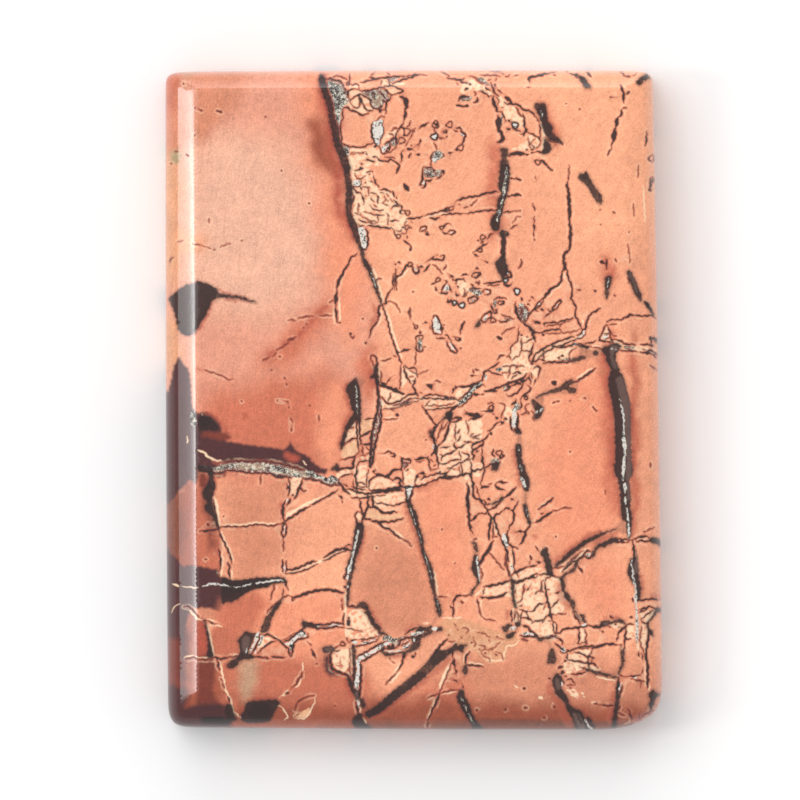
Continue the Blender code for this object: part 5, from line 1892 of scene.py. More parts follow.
# %% The lower right corner
LOWER_RIGHT = """
umber 0 559,577.5 563,578 564,581 565.5,586 565,590 569,594 570.5,598 574,601 575.3,605 573.5,609 \
577,611.5 575,613 571.5,608.5 570,603.5 566,600 563,593 561,588 560.5,583
stain 6 558,584 559,592 563,600 568,607
dark 2.3 572.5,612 575,616.5 578,620.5 580.5,624
umber 0 579.5,614.5 584,614.7 584.7,619 586.5,623.5 583.5,622 581.5,618
quartz 0 574,613 578,614 581,619 582.5,622.5 580,621
white 0 581,624.5 586,622.5 586,626 581.5,626.5
dark 2.5 556,633 560,632.5 562,629.5 566,628.5 572,628 578,627 584,626.6 588,625.2
dark 3.2 589,625.2 595,626.8 600,626.3 604,625.5
umber 0 600,623 603,620.5 608,620.5 612,621 616,619.5 619,618.5 623,620.5 626,623.5 622,623.5 618,622 \
612,623.5 606,625.5 600,626.8
ash 0 603,622.5 608,622 607,624.5 603.5,624.7
dark 2.2 626.5,624.3 630,623.8 633,624.5
dark 2.2 609.5,615.8 613,618.5
stain 4 604,617 611,617 618,616
dark 1.8 607.5,625.5 610,627.5
spot 1.3 615.5,624
dark 1.8 618,627.5 620,626
cream 0 610,623.5 618,622.5 623,624.5 620,629 616,628 611,626
dark 2.6 626,624.5 622.5,628.5 619.5,632 617.5,634
cream 0 627,626 635,626 635,638 626,637 625,632
dark 2.6 617.8,636 616.5,640
dark 2.2 626.5,626 625.5,632 624.8,638 624.2,644 623.8,648
umber 0 620.3,646 621.5,651 624,648 624.3,655 623.7,665 621,669 619.5,674 617.5,673 619,668 621,663 \
620.3,655
dark 2.4 625,638.5 631,638.8
brown 1.4 619,644.8 623,644.6
dark 2.4 638,600 643,599.8 648,599 654,599 661,600
stain 5 650,596 661,597
dark 2.2 638.5,609 643,608.3 647,607.3 650,606.3 653,607.5 656,609
dark 1.6 639,612 644,610.8 648,608.5
umber 0 656,608 662,608 662,612 657,612.5 653,618 648.5,623.5 649.5,627 652.5,631.5 653,636 649,634.5 \
647.5,630 646,624 650,618 654,612
cream 0 640,613 645,610 650,608 655,610 652,617 647,622 642,622 641,618
dark 2 641.5,618.5 645,616 649,612.5 653,610.5
dark 1.8 641,619 642,622 645,623.5 648,622.5
cream 0 641,625 647,626 647,640 646,654 643,650 640,640
dark 2.8 648.3,630 648.3,636 647,644 646,652 646,658 647.3,664 647.5,672 647.5,680 647.3,688
brown 1.8 641.5,626 640.5,633 639.7,640
brown 1.6 639.7,640 641,646 643.5,651 645,655
dark 2 638,652 639,656
dark 1.8 641.5,653 642.5,659
pale 2.4 637.5,643 638,650
pale 1.3 644.7,658 645,672 645,686
dark 2.4 578.8,629 579,636 578.3,643
cream 0 580,628 584,628 586,634 585,642 580,643
brown 1.8 584,629 586,634 585.5,640 587,645 588,648
brown 1.4 577,643.7 581,643 585,642
dark 2.2 569,651.5 573,649 577,647.5 583,646.5 590,646 596,645.5
dark 2.9 592,648.5 597,646.8 602,644.8 607,643.6 612,644 617,644.5
brown 1.6 578.5,648.7 584,648 588,648.8
spot 1.3 603,631.5
dark 2.6 567,649 569,651.5
dark 2 567.5,654 567,658 569,660
spot 1.7 565,660.5
cream 0 568,652 590,649 591,656 587,663 600,668 596,671 586,668 574,672 560,676 564,688 576,690 \
578,700 568,692 560,680 563,664 567,656
dark 2 574,652 579,652.5 584,655 589,656.5 594,657.5
dark 2.4 592,649.5 590,654 588,658.5 587.8,663
dark 1.6 595,657.5 592,659 591.5,662
dark 2.3 569,660 576,660.8 582,662 588,663.2 593,663 595,665.5 598,668.5
dark 2 588,664 589,668
dark 2.2 571.5,674 578,673.8 582,672.5 585.5,672.5
dark 1.8 580,667 586,669
umber 0 585.5,668 590,668.5 595,670.5 600,671.5 607,673.5 613,675.5 618,676.8 618,678 612,677.5 \
605,676 599,674.5 594,673.5 590,671.5 586,670.5
pale 1.6 596,676 605,678.5 614,680
dark 3 558.5,668 561,667 563.5,665.8
spot 2.1 562.7,671.5
spot 1 566,676 570.5,687.5 561,673.5
dark 1.8 562,678.5 563.7,683.5
white 0 561,681 562.6,681 563,686 561,686
dark 1.9 567,680 570,678 573,681 575.5,685
brown 1.4 567,684.5 573,685
umber 0 555,673.5 560,674.5 562,680 561,686 565,693 568,698 569,703 572,706 576,709.5 580,710 583,714 \
586,721 590,730 577,730 574,722 571,716 567,710 564,702 559,697 555,693 554,688 552,682 553,677
ash 0 555,679 558,679 560,688 557,689
ash 0 573,713 578,714 583,722 585,729 580,729 575,721
dark 1.8 576,713 580,720 583,728
white 0 584,719 586,718.5 589,724.5 594,729 590,729.5 586,724
umber 0 586,716.5 590,718 592.5,723 596,729 591,726.5 588,722
stain 6 549,682 550,692 558,702 564,714 570,726
spot 1.6 524,688
pale 4 538.5,697 542.5,698.3
pale 2 550.4,695.5 550.6,696
pale 2 556.5,695.3 557,695.6
pale 2.2 552.2,703 552.6,703.4
pale 1.8 478.7,709 478.9,710
pale 2 580.5,692.5 584,694
pale 1.8 583,696.5 584.5,697
pale 1.3 514,685 518,687.5
spot 1.4 554.5,706.5 505.5,709 544,717 549.5,678 477,710
dark 2.6 523.5,707.5 527,707.8
dark 3 618.5,677.5 618,684 617,690
umber 0 616,684 619,684 618.7,690 619.5,697 618.5,705 617.5,712 617,720 616,729 612.3,729 612,720 \
613.5,712 614.5,704 615.3,696
stain 6 613.5,690 613,705 610.5,722
white 0 620.5,682 622.3,683 619.8,689 618.4,694 618.3,688
dark 2.2 622.3,685.5 620.7,691 619,696.5
dark 2.2 594,703.3 597.5,704.5
pale 1.4 591,702 596,702.3
dark 2 600.5,704.5 605,705.3 611,705.5 615,705.3
dark 1.8 618,709 620.5,705.5
brown 1.6 618.5,712 622,714.5 624,716
dark 2.3 628,709 629.5,713 631.5,718 632.5,721
dark 1.8 654,710 647,713 642,716 640,720.5
brown 1.8 639,713.5 639.5,717 638,720.5
dark 2 624,726.5 630,724.5 635,723.5
pale 1.8 636,723.5 638,722.5
dark 2.8 638,723.5 641,721.5
dark 2.1 628,676 633,676 638,675.3 641,674.5
brown 1.8 631,678.5 636,679.5 640,680.5 645,681
white 0 632,676.6 637,676 636,678.5 633,678
brown 1.6 642.5,669 642,673
dark 1.8 619.5,674.5 623,676.5
brown 1.4 640.5,682 640.5,687
umber 0 649,692 653,690 657,692.5 662,693.5 658,696 655,700 653,706 651,709 648.5,705 650,700 648.5,696
pale 1 651,694 652,698
pale 1 653,693 655,695
pale 1 650.5,701 652,704
dark 1.8 650,705 651.5,711
pale 1.6 649,684 649,690
"""
print(len(LOWER_RIGHT.splitlines()) - 1, "marks")

# %% All the tracings, in the order in which they are laid
TRACINGS = (
    WASHES,
    FAULT_AND_UPPER_BRECCIA,
    LEFT_BLOCK,
    FAULT_END,
    MIDDLE_VUGS,
    SPLIT_LINE,
    UPPER_RIGHT,
    CORED_VEIN,
    CREAM_BRECCIA,
    RIGHT_BARS,
    MAROON_EDGE,
    SECOND_FAULT,
    CREAM_BAND,
    CLIMBING_SEAM,
    RIGHT_NET,
    QUARTZ_SEAM,
    CENTRE_NET,
    LOWER_MIDDLE,
    RIGHT_VEIN_FOOT,
    LOWER_LEFT,
    FAULT_KNOT,
    TAN_PATCH,
    LOWER_RIGHT,
)
print(len(TRACINGS), "tracings")

# %% [markdown]
# ## Reading the tracings
#
# A traced point every few pixels is enough if a smooth curve runs through them. The curve used
# here is Catmull and Rom's: it passes through every point, heading from the point before to the
# point after. A real crack also wanders a little between its turns, so a small wobble is added,
# a sum of sine waves of the place. It is the same on every run, and two cracks that meet still
# meet, because the wobble depends on the place alone.

# %% Curves through traced points
SAMPLE_STEP = 2.0
WOBBLE = 0.35


def wobble(points):
    """Each coordinate shifts by a sum of two sines of the place, with waves of 5 to 12 pixels."""
    x, y = points[:, 0], points[:, 1]
    across = np.sin(0.55 * x + 0.92 * y) + 0.6 * np.sin(1.13 * y - 0.41 * x + 2.0)
    along = np.sin(0.87 * x - 0.49 * y + 1.0) + 0.6 * np.sin(1.21 * x + 0.33 * y)
    return points + WOBBLE * np.column_stack((across, along))


def smooth_line(points, closed=False):
    """Catmull and Rom's cubic through the points, in steps of about SAMPLE_STEP pixels."""
    points = np.asarray(points, float)
    if closed:
        padded = np.vstack((points[-1:], points, points[:2]))
    else:
        padded = np.vstack((2 * points[:1] - points[1:2], points, 2 * points[-1:] - points[-2:-1]))
    pieces = []
    for before, start, end, after in zip(padded, padded[1:], padded[2:], padded[3:]):
        count = max(1, math.ceil(math.dist(start, end) / SAMPLE_STEP))
        t = (np.arange(count) / count)[:, None]
        leave, arrive = (end - before) / 2.0, (after - start) / 2.0
        cubic = (2 * start - 2 * end + leave + arrive) * t**3
        square = (3 * end - 3 * start - 2 * leave - arrive) * t**2
        pieces.append(cubic + square + leave * t + start)
    line = np.vstack(pieces + [padded[-2:-1]])
    return wobble(line)


def read_tracing(text):
    """Each line of a tracing holds a kind, a size in pixels and points. Returns those three."""
    found = []
    for line in text.strip().splitlines():
        kind, size, *places = line.split()
        points = [tuple(float(v) for v in place.split(",")) for place in places]
        found.append((kind, float(size), points))
    return found


marks = [mark for tracing in TRACINGS for mark in read_tracing(tracing)]
print(len(marks), "marks,", sum(len(points) for _, _, points in marks), "traced points")

# %% [markdown]
# ## Lines, outlines, spots and rings
#
# Every mark becomes one of two things: a line with a half width at each point, or a closed
# outline. A spot is a short fat line. A ring is a small wavy circle drawn as a line. A line
# thins towards its ends, as a crack does where it dies out.

# %% Sort the marks into lines and outlines
LINE_KINDS = ("dark", "brown", "pale", "seam", "stain")
FILL_KINDS = ("umber", "cream", "quartz", "white", "ash")
TAPER = 5.0
THINNEST_END = 0.45
SWELL = 0.18
SPOT_REACH = 0.25
SPOT_RISE = 0.20
SPOT_HALF_WIDTH = 0.85
RING_HALF_INK = 0.75
VUG_HALF_INK = 1.125
RING_POINTS = 13
SOFT_WASH = 8.0


def half_widths(line, width):
    """Half the width, less towards both ends: it grows from THINNEST_END over TAPER pixels."""
    steps = np.linalg.norm(np.diff(line, axis=0), axis=1)
    along = np.concatenate(([0.0], np.cumsum(steps)))
    to_end = np.minimum(along, along[-1] - along)
    taper = min(TAPER, along[-1] / 2.5) + 0.01
    swell = 1.0 + SWELL * np.sin(0.7 * line[:, 0] + 0.5 * line[:, 1])
    return width / 2.0 * swell * (THINNEST_END + (1.0 - THINNEST_END) * np.minimum(1.0, to_end / taper))


def ring_line(centre, radius):
    """A circle whose radius waves three times around, by an amount that the place sets."""
    turn = np.linspace(0.0, 2.0 * np.pi, RING_POINTS)
    phase = centre[0] * 1.3 + centre[1] * 2.1
    reach = radius * (1.0 + 0.16 * np.sin(3.0 * turn + phase) + 0.10 * np.sin(2.0 * turn + 2.0 * phase))
    return np.column_stack((centre[0] + reach * np.cos(turn), centre[1] + reach * np.sin(turn)))


lines = {kind: [] for kind in LINE_KINDS}
fills = {kind: [] for kind in FILL_KINDS}
washes = []

for kind, size, points in marks:
    if kind in LINE_KINDS:
        line = smooth_line(points)
        lines[kind].append((line, half_widths(line, size)))
    elif kind in FILL_KINDS:
        fills[kind].append(smooth_line(points, closed=True))
    elif kind == "spot":
        for x, y in points:
            short = np.array([(x - SPOT_REACH * size, y), (x + SPOT_REACH * size, y + SPOT_RISE * size)])
            lines["dark"].append((short, np.full(2, size * SPOT_HALF_WIDTH)))
    elif kind in ("ring", "vug"):
        for centre in points:
            circle = ring_line(centre, size)
            ink = RING_HALF_INK if kind == "ring" else VUG_HALF_INK
            lines["dark"].append((circle, np.full(len(circle), ink)))
            if kind == "vug":
                fills["white"].append(circle[:-1])
    else:
        washes.append((kind, size, smooth_line(points, closed=True)))

print({kind: len(found) for kind, found in {**lines, **fills}.items()}, len(washes), "washes")

# %% [markdown]
# ## Distances
#
# A material can draw a crisp line if it knows how far each place is from the line. Painting
# the line's colour on the mesh instead would blur it over a whole triangle. So each kind of
# line gives the mesh one number: the distance to the nearest line of that kind, less the
# line's half width. It is below zero in the vein, and it grows evenly on both sides, so the
# triangles between three rows of points carry it almost without error.

# %% Gaps between points and traced shapes
FAR = 12.0
CHUNK = 12
POINTS_AT_ONCE = 4000


def gaps_to_line(points, line, halves, gaps, reach=FAR):
    """Lowers gaps to |p - nearest point of the line| - half width there, near the line only.

    For a segment from a with run r, the nearest share is (p - a).r / r.r kept within 0 to 1.
    """
    for first in range(0, len(line) - 1, CHUNK):
        part = line[first:first + CHUNK + 1]
        low, high = part.min(axis=0) - reach, part.max(axis=0) + reach
        near = np.flatnonzero(((points > low) & (points < high)).all(axis=1))
        run = np.diff(part, axis=0)
        offset = points[near, None] - part[None, :-1]
        share = np.clip((offset * run).sum(axis=2) / np.maximum((run * run).sum(axis=1), 1e-9), 0.0, 1.0)
        widths = halves[first:first + CHUNK + 1]
        half = widths[:-1] + share * np.diff(widths)
        gap = np.linalg.norm(offset - share[..., None] * run, axis=2) - half
        gaps[near] = np.minimum(gaps[near], gap.min(axis=1))


def inside_outline(points, outline):
    """Even-odd rule: a point is inside if a level ray from it crosses the outline an odd
    number of times.
    """
    x, y = points[:, 0, None], points[:, 1, None]
    start, end = outline, np.roll(outline, -1, axis=0)
    straddles = (start[:, 1] > y) != (end[:, 1] > y)
    rise = np.where(end[:, 1] == start[:, 1], 1e-9, end[:, 1] - start[:, 1])
    crossing = start[:, 0] + (y - start[:, 1]) / rise * (end[:, 0] - start[:, 0])
    return (straddles & (x < crossing)).sum(axis=1) % 2 == 1


def gaps_to_outline(points, outline, reach=FAR):
    """The distance to a closed outline, below zero inside it.

    The indices of the points that it was worked out for come first.
    """
    low, high = outline.min(axis=0) - reach, outline.max(axis=0) + reach
    near = np.flatnonzero(((points > low) & (points < high)).all(axis=1))
    loop = np.vstack((outline, outline[:1]))
    distance = np.full(len(near), reach)
    gaps_to_line(points[near], loop, np.zeros(len(loop)), distance, reach)
    inside = np.zeros(len(near), bool)
    for first in range(0, len(near), POINTS_AT_ONCE):
        some = slice(first, first + POINTS_AT_ONCE)
        inside[some] = inside_outline(points[near[some]], outline)
    return near, np.where(inside, -distance, distance)


tried = np.full(1, FAR)
gaps_to_line(np.array([(3.0, 4.0)]), np.array([(0.0, 0.0), (6.0, 0.0)]), np.zeros(2), tried)
print("a place four pixels beside a hairline has the gap", tried[0])


# %% [markdown]
# ## Points for the mesh
#
# A plain grid fine enough for every hairline would need millions of faces. Here the points go
# where the marks are: three rows along each line, two along each outline, and a wide lattice in
# the plain stone between. Squares of a set size keep one point each, so crowded places stay
# light. The triangles between all these points are found by Delaunay's rule, which Blender has
# as a function.

# %% Rows of points along the marks
ROW_GAP = 1.3
CELL = 1.25
LATTICE = 5.0
LATTICE_ROW = 0.87
TOP_ROW, FOOT_ROW = 60, 740
LEFT_COLUMN, RIGHT_COLUMN = 155, 675
SQUARES_A_SIDE = 1000


def normals_of(line):
    """The unit normal of a line at each of its points, from the run between its neighbours."""
    run = np.gradient(line, axis=0)
    run /= np.maximum(np.linalg.norm(run, axis=1, keepdims=True), 1e-9)
    return np.column_stack((-run[:, 1], run[:, 0]))


def rows_beside(line, offsets):
    """The line itself and copies of it moved sideways by each offset, which may vary along it."""
    sideways = normals_of(line)
    return [line + sideways * np.reshape(offset, (-1, 1)) for offset in offsets]


middles, margins = [], []
for kind in LINE_KINDS:
    for line, halves in lines[kind]:
        middles.append(line)
        margins += rows_beside(line, (halves + ROW_GAP, -halves - ROW_GAP))
for kind in FILL_KINDS:
    for outline in fills[kind]:
        margins += rows_beside(outline, (np.float64(-ROW_GAP / 2), np.float64(ROW_GAP / 2)))
for _, softness, outline in washes:
    if softness < SOFT_WASH:
        margins += rows_beside(outline, (np.float64(-softness / 2), np.float64(softness / 2)))


def thinned(points, cell):
    """The first point in each square of the plane, so that no square holds two."""
    squares = np.floor(points / cell).astype(int)
    _, first = np.unique(squares, axis=0, return_index=True)
    return points[np.sort(first)]


def lattice_points(spacing):
    """Rows of points over the whole picture, every second row shifted by half a step."""
    rows, columns = np.mgrid[TOP_ROW:FOOT_ROW:spacing * LATTICE_ROW, LEFT_COLUMN:RIGHT_COLUMN:spacing]
    columns = columns + spacing / 2.0 * (np.arange(len(rows)) % 2)[:, None]
    return np.column_stack((columns.ravel(), rows.ravel()))


def clear_of(points, others, cell):
    """The points whose square and eight squares around it hold none of the others."""
    taken = np.zeros((SQUARES_A_SIDE, SQUARES_A_SIDE), bool)
    at = np.floor(others / cell).astype(int)
    for shift_x in (-1, 0, 1):
        for shift_y in (-1, 0, 1):
            taken[at[:, 0] + shift_x + 1, at[:, 1] + shift_y + 1] = True
    mine = np.floor(points / cell).astype(int)
    return points[~taken[mine[:, 0] + 1, mine[:, 1] + 1]]


detail = thinned(np.vstack(middles + margins), CELL)
plain = clear_of(lattice_points(LATTICE), detail, LATTICE / 2.0)
print(len(detail), "points on the marks and", len(plain), "in the plain stone")

# %% [markdown]
# ## Rings round the edge
#
# The round of the shoulder and the wall stand too steep for points that are spread over the
# plan. They are strips between rings instead. Every ring has the same columns, so the strips
# are plain grids. A ring is found by halving: along each column's line from the middle, the
# half that holds the wanted nearness is kept, thirty times over.

# %% Rings of equal nearness
COLUMNS_PER_MM = 6.6
TURN_RINGS = (0.88, 0.92, 0.95, 0.975, 0.992, 1.0)
BEVEL_RINGS = (0.02, 0.07, 0.14, 0.25, 0.38, 0.50, 0.60, 0.66, 0.72, 0.78, 0.83)
WALL_LEVELS = 4
HALVINGS = 30
RING_SEARCH = 0.5, 1.02


def column_directions():
    """Points at even steps round the unrounded outline."""
    corners = (TOP_LEFT, TOP_RIGHT, FOOT_RIGHT, FOOT_LEFT)
    sides = []
    for start, end in zip(corners, corners[1:] + corners[:1]):
        count = round(math.dist(start, end) / MM * COLUMNS_PER_MM)
        share = (np.arange(count) / count)[:, None]
        sides.append(np.array(start) * (1.0 - share) + np.array(end) * share)
    return np.vstack(sides)


def ring_at(nearness, directions):
    """The points of the plan with this nearness, one on each column's line."""
    low, high = (np.full(len(directions), share) for share in RING_SEARCH)
    for _ in range(HALVINGS):
        middle = (low + high) / 2.0
        below = edge_nearness(directions * middle[:, None]) < nearness
        low, high = np.where(below, middle, low), np.where(below, high, middle)
    return directions * low[:, None]


def to_pixels(plan):
    """The inverse of to_plan."""
    return plan / (PIXEL, -PIXEL) + STONE_MIDDLE_PIXEL


columns = column_directions()
rings = [ring_at(nearness, columns) for nearness in TURN_RINGS]
print(len(columns), "columns")

# %% [markdown]
# ## The back and the wall
#
# The veins are sheets that cut through the rock, so they show again on the wall and on the
# back, a little displaced. Each point therefore has a place in the pattern: its own place in
# the plan on the top, and a place slightly nearer the middle the deeper it lies.

# %% Points of the top and of the back
SHEET_LEAN = 0.011 / MM
BACK_LATTICE = 5.5
BACK_CELL = 3.0
BACK_LIMIT = 0.7
TOP_CELL = 0.9
ROOM_BY_RING = 0.012
PLAIN_ROOM_BY_RING = 0.03


def inside_ring(pixels, limit):
    """Only the points whose nearness to the edge is under the limit."""
    return pixels[edge_nearness(to_plan(pixels)) < limit]


def triangles_over(boundary, inner):
    """Delaunay's triangles over points within a closed boundary, as rows of three indices."""
    points = np.vstack((boundary, inner))
    count = len(boundary)
    hull = [(i, (i + 1) % count) for i in range(count)]
    made = delaunay_2d_cdt([Vector(p) for p in points], hull, [], 1, 1e-7, False)
    assert len(made[0]) == len(points), "two points fell together"
    return np.array(made[2])


def lean_of(depth):
    """How much of its distance from the middle a sheet loses at this depth below the shoulder."""
    return 1.0 - SHEET_LEAN * depth


bevel_rows = np.vstack([to_pixels(ring_at(nearness, columns[::2])) for nearness in BEVEL_RINGS])
top_inner = inside_ring(np.vstack((detail, bevel_rows)), TURN_RINGS[0] - ROOM_BY_RING)
top_inner = thinned(top_inner, TOP_CELL)
plain_inner = inside_ring(clear_of(plain, top_inner, LATTICE / 2.0), TURN_RINGS[0] - PLAIN_ROOM_BY_RING)
top_inner = np.vstack((top_inner, plain_inner))
top_triangles = triangles_over(to_pixels(rings[0]), top_inner)
print(len(top_triangles), "triangles on the top")

back_outline = rings[-1] * (1.0 - BACK_CHAMFER / HALF_WIDTH, 1.0 - BACK_CHAMFER / HALF_LENGTH)
back_marks = thinned(np.vstack(middles), BACK_CELL)
back_plain = clear_of(lattice_points(BACK_LATTICE), back_marks, BACK_LATTICE / 2.0)
back_detail = inside_ring(np.vstack((back_marks, back_plain)), BACK_LIMIT)
back_triangles = triangles_over(to_pixels(back_outline), back_detail)
print(len(back_triangles), "triangles on the back")

# %% Put the top, the wall and the back together
wall_heights = np.linspace(wall_top, BACK_CHAMFER, WALL_LEVELS + 1)[1:]
levels = []
for nearness, ring in zip(TURN_RINGS, rings):
    levels.append(np.column_stack((ring, top_height(ring, np.full(len(ring), nearness)))))
for height in wall_heights:
    levels.append(np.column_stack((rings[-1], np.full(len(columns), height))))
levels.append(np.column_stack((back_outline, np.zeros(len(columns)))))

top_plan = to_plan(top_inner)
top_points = np.column_stack((top_plan, top_height(top_plan, edge_nearness(top_plan))))
back_points = np.column_stack((to_plan(back_detail), np.zeros(len(back_detail))))
vertices = np.vstack(levels + [top_points, back_points])

count = len(columns)
band_start = len(levels) * count
back_start = band_start + len(top_points)


def shifted(triangles, boundary_start, inner_start):
    """Indices into boundary and inner points, turned into indices into the whole mesh."""
    return np.where(triangles < count, triangles + boundary_start, triangles - count + inner_start)


def strip_between(upper, lower):
    """Two triangles for each column between two rings. Seen from above, columns run clockwise."""
    here, after = np.arange(count), (np.arange(count) + 1) % count
    first = np.column_stack((upper + here, upper + after, lower + after))
    second = np.column_stack((upper + here, lower + after, lower + here))
    return np.vstack((first, second))


strips = [strip_between(row * count, (row + 1) * count) for row in range(len(levels) - 1)]
top_faces = shifted(top_triangles, 0, band_start)
back_faces = shifted(back_triangles, (len(levels) - 1) * count, back_start)
face_groups = [top_faces] + strips + [back_faces]


def facing(triangles, want_up):
    """Turns each triangle that faces the wrong way, judged by the sign of its area in the plan."""
    a, b, c = (vertices[triangles[:, i], :2] for i in range(3))
    area = (b[:, 0] - a[:, 0]) * (c[:, 1] - a[:, 1]) - (b[:, 1] - a[:, 1]) * (c[:, 0] - a[:, 0])
    return np.where(((area > 0) == want_up)[:, None], triangles, triangles[:, ::-1])


face_groups[0] = facing(top_faces, True)
face_groups[-1] = facing(back_faces, False)
triangles = np.vstack(face_groups)
print(len(vertices), "points and", len(triangles), "triangles in all")

# %% [markdown]
# ## The mesh
#
# The normals are given for each corner of each triangle. The top takes them from the formula,
# the wall looks straight out, the chamfer looks half down and the back looks down, so the
# edges between them stay crisp.

# %% Make the mesh and give it its normals


def corner_normals():
    """One normal for each corner of each triangle, from the group that the triangle is in."""
    outward = nearness_slope(rings[-1])
    outward /= np.linalg.norm(outward, axis=1, keepdims=True)
    ring_count = len(TURN_RINGS)
    all_up = [top_normals(ring, np.full(count, nearness)) for nearness, ring in zip(TURN_RINGS, rings)]
    flat_out = np.column_stack((outward, np.zeros(count)))
    slanted = np.column_stack((outward, -np.ones(count))) / math.sqrt(2.0)
    inner_up = top_normals(top_plan, edge_nearness(top_plan))
    down = np.array((0.0, 0.0, -1.0))

    turn = np.vstack(all_up + [flat_out] * (len(levels) - ring_count) + [inner_up])
    wall = np.tile(flat_out, (len(levels), 1))
    chamfer = np.tile(slanted, (len(levels), 1))
    parts = [turn[face_groups[0]]]
    parts += [turn[strip] for strip in strips[:ring_count - 1]]
    parts += [wall[strip] for strip in strips[ring_count - 1:-1]]
    parts += [chamfer[strips[-1]]]
    parts += [np.broadcast_to(down, face_groups[-1].shape + (3,))]
    return np.concatenate(parts).reshape(-1, 3)


def mesh_from(name, points, faces):
    """A mesh of triangles, filled by whole arrays."""
    mesh = bpy.data.meshes.new(name)
    mesh.vertices.add(len(points))
    mesh.vertices.foreach_set("co", points.astype(np.float32).ravel())
    mesh.loops.add(faces.size)
    mesh.loops.foreach_set("vertex_index", faces.astype(np.int32).ravel())
    mesh.polygons.add(len(faces))
    mesh.polygons.foreach_set("loop_start", np.arange(0, faces.size, 3, dtype=np.int32))
    mesh.update(calc_edges=True)
    mesh.validate()
    return mesh


stone_mesh = mesh_from("mookaite_stone", vertices, triangles)
stone_mesh.polygons.foreach_set("use_smooth", np.ones(len(triangles), bool))
stone_mesh.normals_split_custom_set(corner_normals().astype(np.float32))
stone = bpy.data.objects.new("mookaite_stone", stone_mesh)
bpy.context.scene.collection.objects.link(stone)
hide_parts("stone")
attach(stone, "root")
print(len(stone_mesh.polygons), "triangles in the mesh")

# %% [markdown]
# ## The pattern's numbers on the mesh
#
# Each kind of mark becomes one number at each point. The wall and the back read the pattern
# where the leaning sheets reach them.

# %% Measure the gap to every kind of mark at every point
depth = np.clip(wall_top - vertices[:, 2], 0.0, None)
pattern = to_pixels(vertices[:, :2] * lean_of(depth)[:, None])


def write_number(name, values):
    """Stores one number for each point of the mesh under this name."""
    layer = stone_mesh.attributes.new(name, "FLOAT", "POINT")
    layer.data.foreach_set("value", values.astype(np.float32))


for kind in LINE_KINDS:
    gaps = np.full(len(pattern), FAR)
    for line, halves in lines[kind]:
        gaps_to_line(pattern, line, halves, gaps)
    write_number(kind + "_gap", gaps)

for kind in FILL_KINDS:
    gaps = np.full(len(pattern), FAR)
    for outline in fills[kind]:
        near, signed = gaps_to_outline(pattern, outline)
        gaps[near] = np.minimum(gaps[near], signed)
    write_number(kind + "_gap", gaps)

print("share of points within a dark vein:", end=" ")
dark = np.zeros(len(pattern), np.float32)
stone_mesh.attributes["dark_gap"].data.foreach_get("value", dark)
print(round(float((dark < 0).mean()), 3))

# %% [markdown]
# ## The ground colour
#
# Between the veins the stone is tinted in broad soft areas: rose on the left, peach on the right,
# rust and maroon where iron soaked in along the fault, and darker bands along the foot that are
# painted shade. These are washes, laid one over the other as a painter does, each with a soft
# edge of its own width. They change slowly, so one colour at each point of the mesh carries them.

# %% Lay the washes
WASH_MARGIN = 2.0


def linear(red, green, blue):
    """A screen's colour, 0 to 255, as the light that a material works with.

    Above the darkest shares it is ((share + 0.055) / 1.055) ^ 2.4.
    """
    share = np.array((red, green, blue)) / 255.0
    return np.where(share <= 0.04045, share / 12.92, ((share + 0.055) / 1.055) ** 2.4)


def drifted(points):
    """Moves each place by slow waves of a few pixels, so that no wash has a ruled edge."""
    x, y = points[:, 0], points[:, 1]
    across = 2.2 * np.sin(0.11 * y + 0.05 * x) + 1.2 * np.sin(0.31 * y - 0.12 * x)
    along = 2.2 * np.sin(0.10 * x - 0.07 * y + 1.0) + 1.2 * np.sin(0.27 * x + 0.09 * y)
    return points + np.column_stack((across, along))


ground = np.tile(linear(*TINTS["peach"]), (len(pattern), 1))
for tint, softness, outline in washes:
    places = drifted(pattern) if softness >= SOFT_WASH else pattern
    near, signed = gaps_to_outline(places, outline, softness / 2.0 + WASH_MARGIN)
    share = np.clip(0.5 - signed / softness, 0.0, 1.0)
    opacity = (share * share * (3.0 - 2.0 * share))[:, None]
    ground[near] += (linear(*TINTS[tint]) - ground[near]) * opacity

ground_layer = stone_mesh.attributes.new("ground_colour", "FLOAT_COLOR", "POINT")
with_alpha = np.column_stack((ground, np.ones(len(ground))))
ground_layer.data.foreach_set("color", with_alpha.astype(np.float32).ravel())
print("mean ground colour:", ground[: band_start + len(top_points)].mean(axis=0).round(3))

# %% [markdown]
# ## Shader sums written as Python
#
# A material is a graph of nodes, and a sum such as 1 - mask is one Math node with two inputs.
# Wrapping a node's output in a small class lets the sum be written as it is read.

# %% A class that turns arithmetic into nodes


class Value:
    """A node's output. Arithmetic on it adds Math nodes to its material."""

    def __init__(self, paint, socket):
        self.paint = paint
        self.socket = socket

    def _math(self, operation, first, second=0.0):
        return self.paint.node("ShaderNodeMath", {"operation": operation}, {0: first, 1: second})

    def __add__(self, other):
        return self._math("ADD", self, other)

    __radd__ = __add__

    def __sub__(self, other):
        return self._math("SUBTRACT", self, other)

    def __rsub__(self, other):
        return self._math("SUBTRACT", other, self)

    def __mul__(self, other):
        return self._math("MULTIPLY", self, other)

    __rmul__ = __mul__

    def at_most(self, other):
        return self._math("MINIMUM", self, other)


